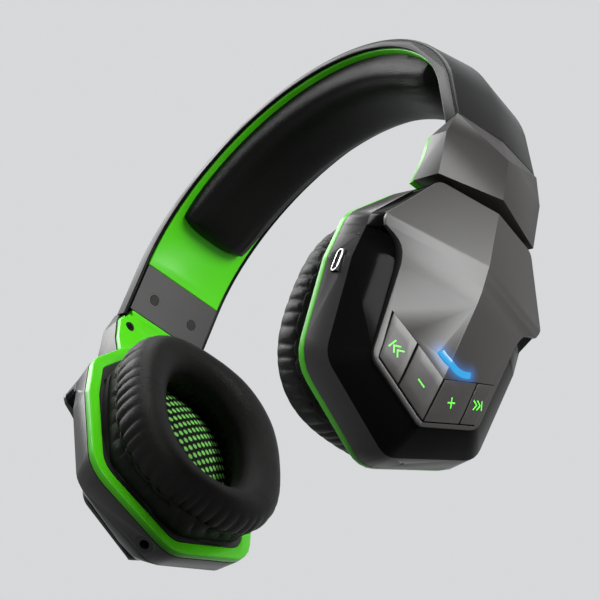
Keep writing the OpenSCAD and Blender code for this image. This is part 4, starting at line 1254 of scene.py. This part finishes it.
@dataclass
class Controls:
    """The right cup's keys, their symbols, the port's rim, painted shade in the port's mouth, and
    the light window.
    """

    stroke: float = 0.42
    overrun: float = 0.8
    ink: float = 0.09
    port: tuple[float, float, float] = (-38.1, 6.5, 5.6)
    rim_half: Point = (3.95, 1.5)
    mouth_half: Point = (3.6, 1.15)
    rim_base: float = 0.05
    rim_depth: float = 0.4
    rim_round: float = 0.12
    mouth_depth: float = 0.1
    symbols: tuple[Symbol, ...] = (
        Symbol("previous", (-17.2, -15.6), -0.5,
               ((-2.3, -CHEVRON_RISE, -2.3, CHEVRON_RISE), *chevron(-1.5, -1), *chevron(0.3, -1))),
        Symbol("minus", (-6.0, -21.2), -0.5, ((-1.4, 0.0, 1.4, 0.0),)),
        Symbol("plus", (7.2, -20.6), 0.5, ((-1.5, 0.0, 1.5, 0.0), (0.0, -1.5, 0.0, 1.5))),
        Symbol("next", (18.4, -15.0), 0.5,
               ((2.3, -CHEVRON_RISE, 2.3, CHEVRON_RISE), *chevron(1.5, 1), *chevron(-0.3, 1))))

    def build(self) -> None:
        """Builds the keys, their symbols, the port's rim, the painted shade in its mouth, and the
        light.
        """
        for symbol in self.symbols:
            key = f"key_{symbol.key}"
            MeshShop.bevelled_copy(key, f"key_cap_{symbol.key}", PANEL, 0.22, key, angle=30)
            self._print(symbol)
        MeshShop.bevelled_copy("light_window", "light_lens", BLUE_LIGHT, 0.12, "cup_right",
                               angle=40)
        self._port()

    @staticmethod
    def _stadium(half_long: float, half_short: float, steps: int = 10) -> list[Point]:
        """Returns the outline of a slot with round ends.

        Args:
            half_long: half its length.
            half_short: half its width.
            steps: the points round each end, less one.

        Returns:
            The outline's points, counter-clockwise.
        """
        ends = []
        for side in (1, -1):
            for k in range(steps + 1):
                turn = math.pi * (k / steps - 0.5) + (0 if side > 0 else math.pi)
                ends.append((side * (half_long - half_short) + half_short * math.cos(turn),
                             half_short * math.sin(turn)))
        return ends

    def _port(self) -> None:
        """Adds the charging port's metal rim, and a dark plate over its mouth: painted shade for
        its hollow.
        """
        middle = [value * MM for value in self.port]
        where = CUP.matrix(Side.RIGHT) @ axes((0, 1, 0), (0, 0, -1), (-1, 0, 0), middle)
        rim = bmesh.new()
        for half in (self.rim_half, self.mouth_half):
            loop = [rim.verts.new((x * MM, y * MM, self.rim_base * MM))
                    for x, y in self._stadium(*half)]
            for one, two in zip(loop, loop[1:] + loop[:1]):
                rim.edges.new((one, two))
        bmesh.ops.bridge_loops(rim, edges=rim.edges[:])
        MeshShop.thicken(rim, rim.faces[:], self.rim_depth)
        # The dark plate over the mouth is painted shade, standing for the shade inside the port.
        mouth_shade = MeshShop.plate(self._stadium(*self.mouth_half), self.mouth_depth)
        for bm, name, finish in ((rim, "port_rim", CHROME), (mouth_shade, "port_mouth", PAINTED_SHADE)):
            bmesh.ops.transform(bm, matrix=where, verts=bm.verts[:])
            bmesh.ops.recalc_face_normals(bm, faces=bm.faces[:])
            made = MeshShop.to_object(bm, name, finish)
            if finish is CHROME:
                bevel = made.modifiers.new("rounded edges", "BEVEL")
                bevel.width = self.rim_round * MM
                bevel.segments = 2
            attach(made, "cup_right")

    def _print(self, symbol: Symbol) -> None:
        """Lays a symbol on its key.

        Args:
            symbol: the symbol.
        """
        run = Vector((1.0, symbol.slope)).normalized()
        rise = Vector((-run.y, run.x))
        middle = Vector(symbol.centre)
        bars = []
        for x0, y0, x1, y1 in symbol.strokes:
            one, two = (middle + run * x + rise * y for x, y in ((x0, y0), (x1, y1)))
            way = (two - one).normalized() * self.stroke / 2
            beside = Vector((-way.y, way.x))
            one, two = one - way * self.overrun, two + way * self.overrun
            corners = (one - beside, two - beside, two + beside, one + beside)
            bars.append(MeshShop.plate([tuple(corner) for corner in corners], self.ink))
        bm = MeshShop.laid_on(MeshShop.joined(bars), f"key_{symbol.key}", CUP.matrix(Side.RIGHT))
        made = MeshShop.to_object(bm, f"key_symbol_{symbol.key}", MARK)
        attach(made, f"key_{symbol.key}")


@dataclass
class Screws:
    """Dark crosses laid in the cross recesses of every screw that shows: painted shade."""

    long: float = 2.3
    wide: float = 0.42
    depth: float = 0.02
    head_reach: float = 0.02
    splay: float = math.radians(16.0)

    def build(self) -> None:
        """Builds the painted shade in the recesses of the end plates' screws and of the sliders'
        screws.
        """
        for side in Side:
            word = side.word
            plate = Vector((-side.value * math.cos(self.splay), 0, -math.sin(self.splay)))
            self._recesses("end_plate_screws", f"plate_screw_recess_{word}", "band", plate, side)
            self._recesses(f"arm_screws_{word}", f"arm_screw_recess_{word}", f"arm_{word}",
                           Vector((-side.value, 0, 0)), side)

    def _recesses(self, node: str, name: str, body: str, inward: Vector, side: Side) -> None:
        """Builds one side's dark crosses, painted shade in the recesses of a node's screws.

        Args:
            node: the CAD node that holds the screws.
            name: the new piece's name.
            body: the body that it rides on.
            inward: the direction that the heads face.
            side: only screws on this side are taken.
        """
        screws = MeshShop.merged_copy(node, join_flats=False)
        across = Vector((0, 1, 0))
        shade_crosses = []
        for island in self._islands(screws):
            top = max(v.co.dot(inward) for v in island)
            head = [v.co for v in island if v.co.dot(inward) > top - self.head_reach * MM]
            middle = sum(head, Vector()) / len(head)
            if middle.x * side.value < 0:
                continue
            where = axes(across, inward.cross(across), inward, middle)
            # Each cross is a dark sheet just under the head's top: painted shade in its recess.
            for one, two in ((self.long, self.wide), (self.wide, self.long)):
                bar = MeshShop.bar(0, 0, one / 2, two / 2, self.depth)
                bmesh.ops.transform(bar, matrix=where, verts=bar.verts[:])
                shade_crosses.append(bar)
        screws.free()
        made = MeshShop.to_object(MeshShop.joined(shade_crosses), name, PAINTED_SHADE)
        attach(made, body)

    @staticmethod
    def _islands(bm: bmesh.types.BMesh) -> list[list[bmesh.types.BMVert]]:
        """Splits a mesh into its separate solids.

        Args:
            bm: the mesh.

        Returns:
            Each solid's vertices.
        """
        left, islands = set(bm.verts), []
        while left:
            stack, island = [left.pop()], []
            while stack:
                vert = stack.pop()
                island.append(vert)
                for edge in vert.link_edges:
                    other = edge.other_vert(vert)
                    if other in left:
                        left.remove(other)
                        stack.append(other)
            islands.append(island)
        return islands


# ------------------------------------------------------------------ finishes of the CAD pieces


def dress_cad_nodes() -> None:
    """Gives each CAD node that stays its own finish: {} stands for left and right."""
    table: tuple[tuple[Finish, tuple[str, ...]], ...] = (
        (STEEL, ("spring_band", "key_switches", "microphone", "slider_strip_{}", "yoke_{}",
                 "tilt_pin_{}", "driver_magnet_{}")),
        (DARK_SCREW, ("end_plate_screws", "usb_port", "arm_screws_{}", "baffle_screws_{}")),
        (NYLON, ("battery_tray", "jack_socket", "slide_guide_{}", "hinge_block_{}", "baffle_{}",
                 "driver_frame_{}")),
        (CABLE, ("cross_cable",)), (WRAP, ("battery",)), (BOARD, ("main_board", "switch_board")),
        (CONE, ("driver_cone_{}",)))
    for finish, names in table:
        for node in (name.format(side.word) for name in names for side in Side):
            mesh = frame["nodes"][node].data
            mesh.materials.clear()
            mesh.materials.append(finish.material())


# ------------------------------------------------------------------ studio


@dataclass
class Softbox:
    """One area lamp."""

    name: str
    toward: tuple[float, float, float]
    target: tuple[float, float, float]
    distance: float
    size: Point
    power: float

    def build(self) -> None:
        """Places the lamp facing its target."""
        lamp = bpy.data.lights.new(self.name, "AREA")
        lamp.shape = "RECTANGLE"
        lamp.size, lamp.size_y = self.size
        lamp.energy = self.power
        made = bpy.data.objects.new(self.name, lamp)
        way = Vector(self.toward).normalized()
        made.location = Vector(self.target) + way * self.distance
        made.rotation_euler = way.to_track_quat("Z", "Y").to_euler()
        bpy.context.scene.collection.objects.link(made)


@dataclass
class Studio:
    """The floor, the world, the lamps and the camera."""

    azimuth: float = 53.35
    elevation: float = -38.07
    roll: float = 10.95
    distance: float = 0.68427
    aim: tuple[float, float, float] = (-0.00119, 0.0, 0.04615)
    lens: float = 117.19
    film: float = 36.0
    seen: Colour = (0.68, 0.69, 0.70, 1.0)
    paper: Colour = (0.17, 0.172, 0.175, 1.0)
    floor_glow: float = 0.72
    floor_half: float = 4.0
    floor_gap: float = 0.0002
    ambient: float = 0.35

    def build(self) -> None:
        """Builds everything round the headset."""
        self._world()
        self._floor()
        self._camera()
        for box in self._lamps():
            box.build()

    def _lamps(self) -> list[Softbox]:
        """Returns the studio's lamps."""
        cup, middle, foot = (0.085, 0.0, 0.0), (0.0, 0.0, 0.05), (0.0, 0.0, 0.0)
        return [Softbox("side_box", (0.99, 0.04, 0.16), cup, 0.6, (0.5, 0.42), 11.5),
                Softbox("rear_box", (-0.63, -0.47, 0.62), middle, 0.7, (0.42, 0.42), 5.2),
                Softbox("low_box", (-0.92, -0.04, -0.39), foot, 0.7, (0.35, 0.35), 4.0),
                Softbox("top_box", (0.1, -0.2, 1.0), middle, 0.8, (0.5, 0.5), 4.5)]

    def _world(self) -> None:
        """Sets a soft ambient light, and the pale backdrop that the camera and gloss see."""
        world = bpy.data.worlds.new("studio")
        bpy.context.scene.world = world
        world.use_nodes = True
        world.node_tree.nodes.clear()
        wire = Wiring(world.node_tree)
        light = wire.node("Background", {"Color": (1.0, 1.0, 1.0, 1.0), "Strength": self.ambient})
        seen = wire.node("Background", {"Color": self.seen, "Strength": 1.0})
        mix = wire.node("MixShader", {"Fac": wire.seen_ray(), 1: light[0], 2: seen[0]})
        wire.node("OutputWorld", {"Surface": mix[0]})

    def _floor(self) -> None:
        """Lays the pale floor under the headset, clear from below."""
        bm = bmesh.new()
        bmesh.ops.create_grid(bm, x_segments=1, y_segments=1, size=self.floor_half)
        bmesh.ops.translate(bm, verts=bm.verts[:], vec=(0, 0, CAD_BOX[0][2] - self.floor_gap))
        mesh = bpy.data.meshes.new("floor")
        bm.to_mesh(mesh)
        bm.free()
        floor = bpy.data.objects.new("floor", mesh)
        bpy.context.scene.collection.objects.link(floor)
        made = bpy.data.materials.new("floor_paper")
        made.use_nodes = True
        nodes, wire = made.node_tree.nodes, Wiring(made.node_tree)
        shader = nodes["Principled BSDF"]
        glow = wire.math("MULTIPLY", wire.seen_ray(), self.floor_glow)
        wire.feed(shader.inputs, {"Base Color": self.paper, "Roughness": 0.9,
                                  "Specular IOR Level": 0.1, "Emission Color": self.seen,
                                  "Emission Strength": glow})
        below = wire.node("NewGeometry")["Backfacing"]
        clear = wire.node("BsdfTransparent")[0]
        mix = wire.node("MixShader", {"Fac": below, 1: shader.outputs[0], 2: clear})
        wire.feed(nodes["Material Output"].inputs, {"Surface": mix[0]})
        mesh.materials.append(made)

    def _camera(self) -> None:
        """Places the camera at the viewing angle."""
        az, el, roll = (math.radians(v) for v in (self.azimuth, self.elevation, self.roll))
        back = Vector((math.sin(az) * math.cos(el), -math.cos(az) * math.cos(el), math.sin(el)))
        right = Vector((math.cos(az), math.sin(az), 0))
        up = right.cross(-back)
        across = right * math.cos(roll) + up * math.sin(roll)
        upward = -right * math.sin(roll) + up * math.cos(roll)
        lens = bpy.data.cameras.new("camera")
        lens.lens = self.lens
        lens.sensor_width = self.film
        lens.sensor_fit = "HORIZONTAL"
        lens.clip_start = 0.01
        made = bpy.data.objects.new("camera", lens)
        made.matrix_world = axes(across, upward, back, Vector(self.aim) + back * self.distance)
        bpy.context.scene.collection.objects.link(made)
        bpy.context.scene.camera = made


# ------------------------------------------------------------------ main


def main() -> None:
    """Builds the dressed headset and its studio, and reports each piece."""
    logging.basicConfig(level=logging.INFO, format="%(message)s")
    scene = bpy.context.scene
    scene.view_settings.view_transform = "Standard"
    Headband().build()
    for side in Side:
        Arm(side).build()
        EarCup(side).build()
        EarPad(side).build()
    Controls().build()
    Screws().build()
    dress_cad_nodes()
    Studio().build()
    for item in sorted(scene.objects, key=lambda o: o.name):
        if item.type == "MESH":
            LOG.info("%s: %d faces", item.name, len(item.data.polygons))


if __name__ == "__main__":
    main()
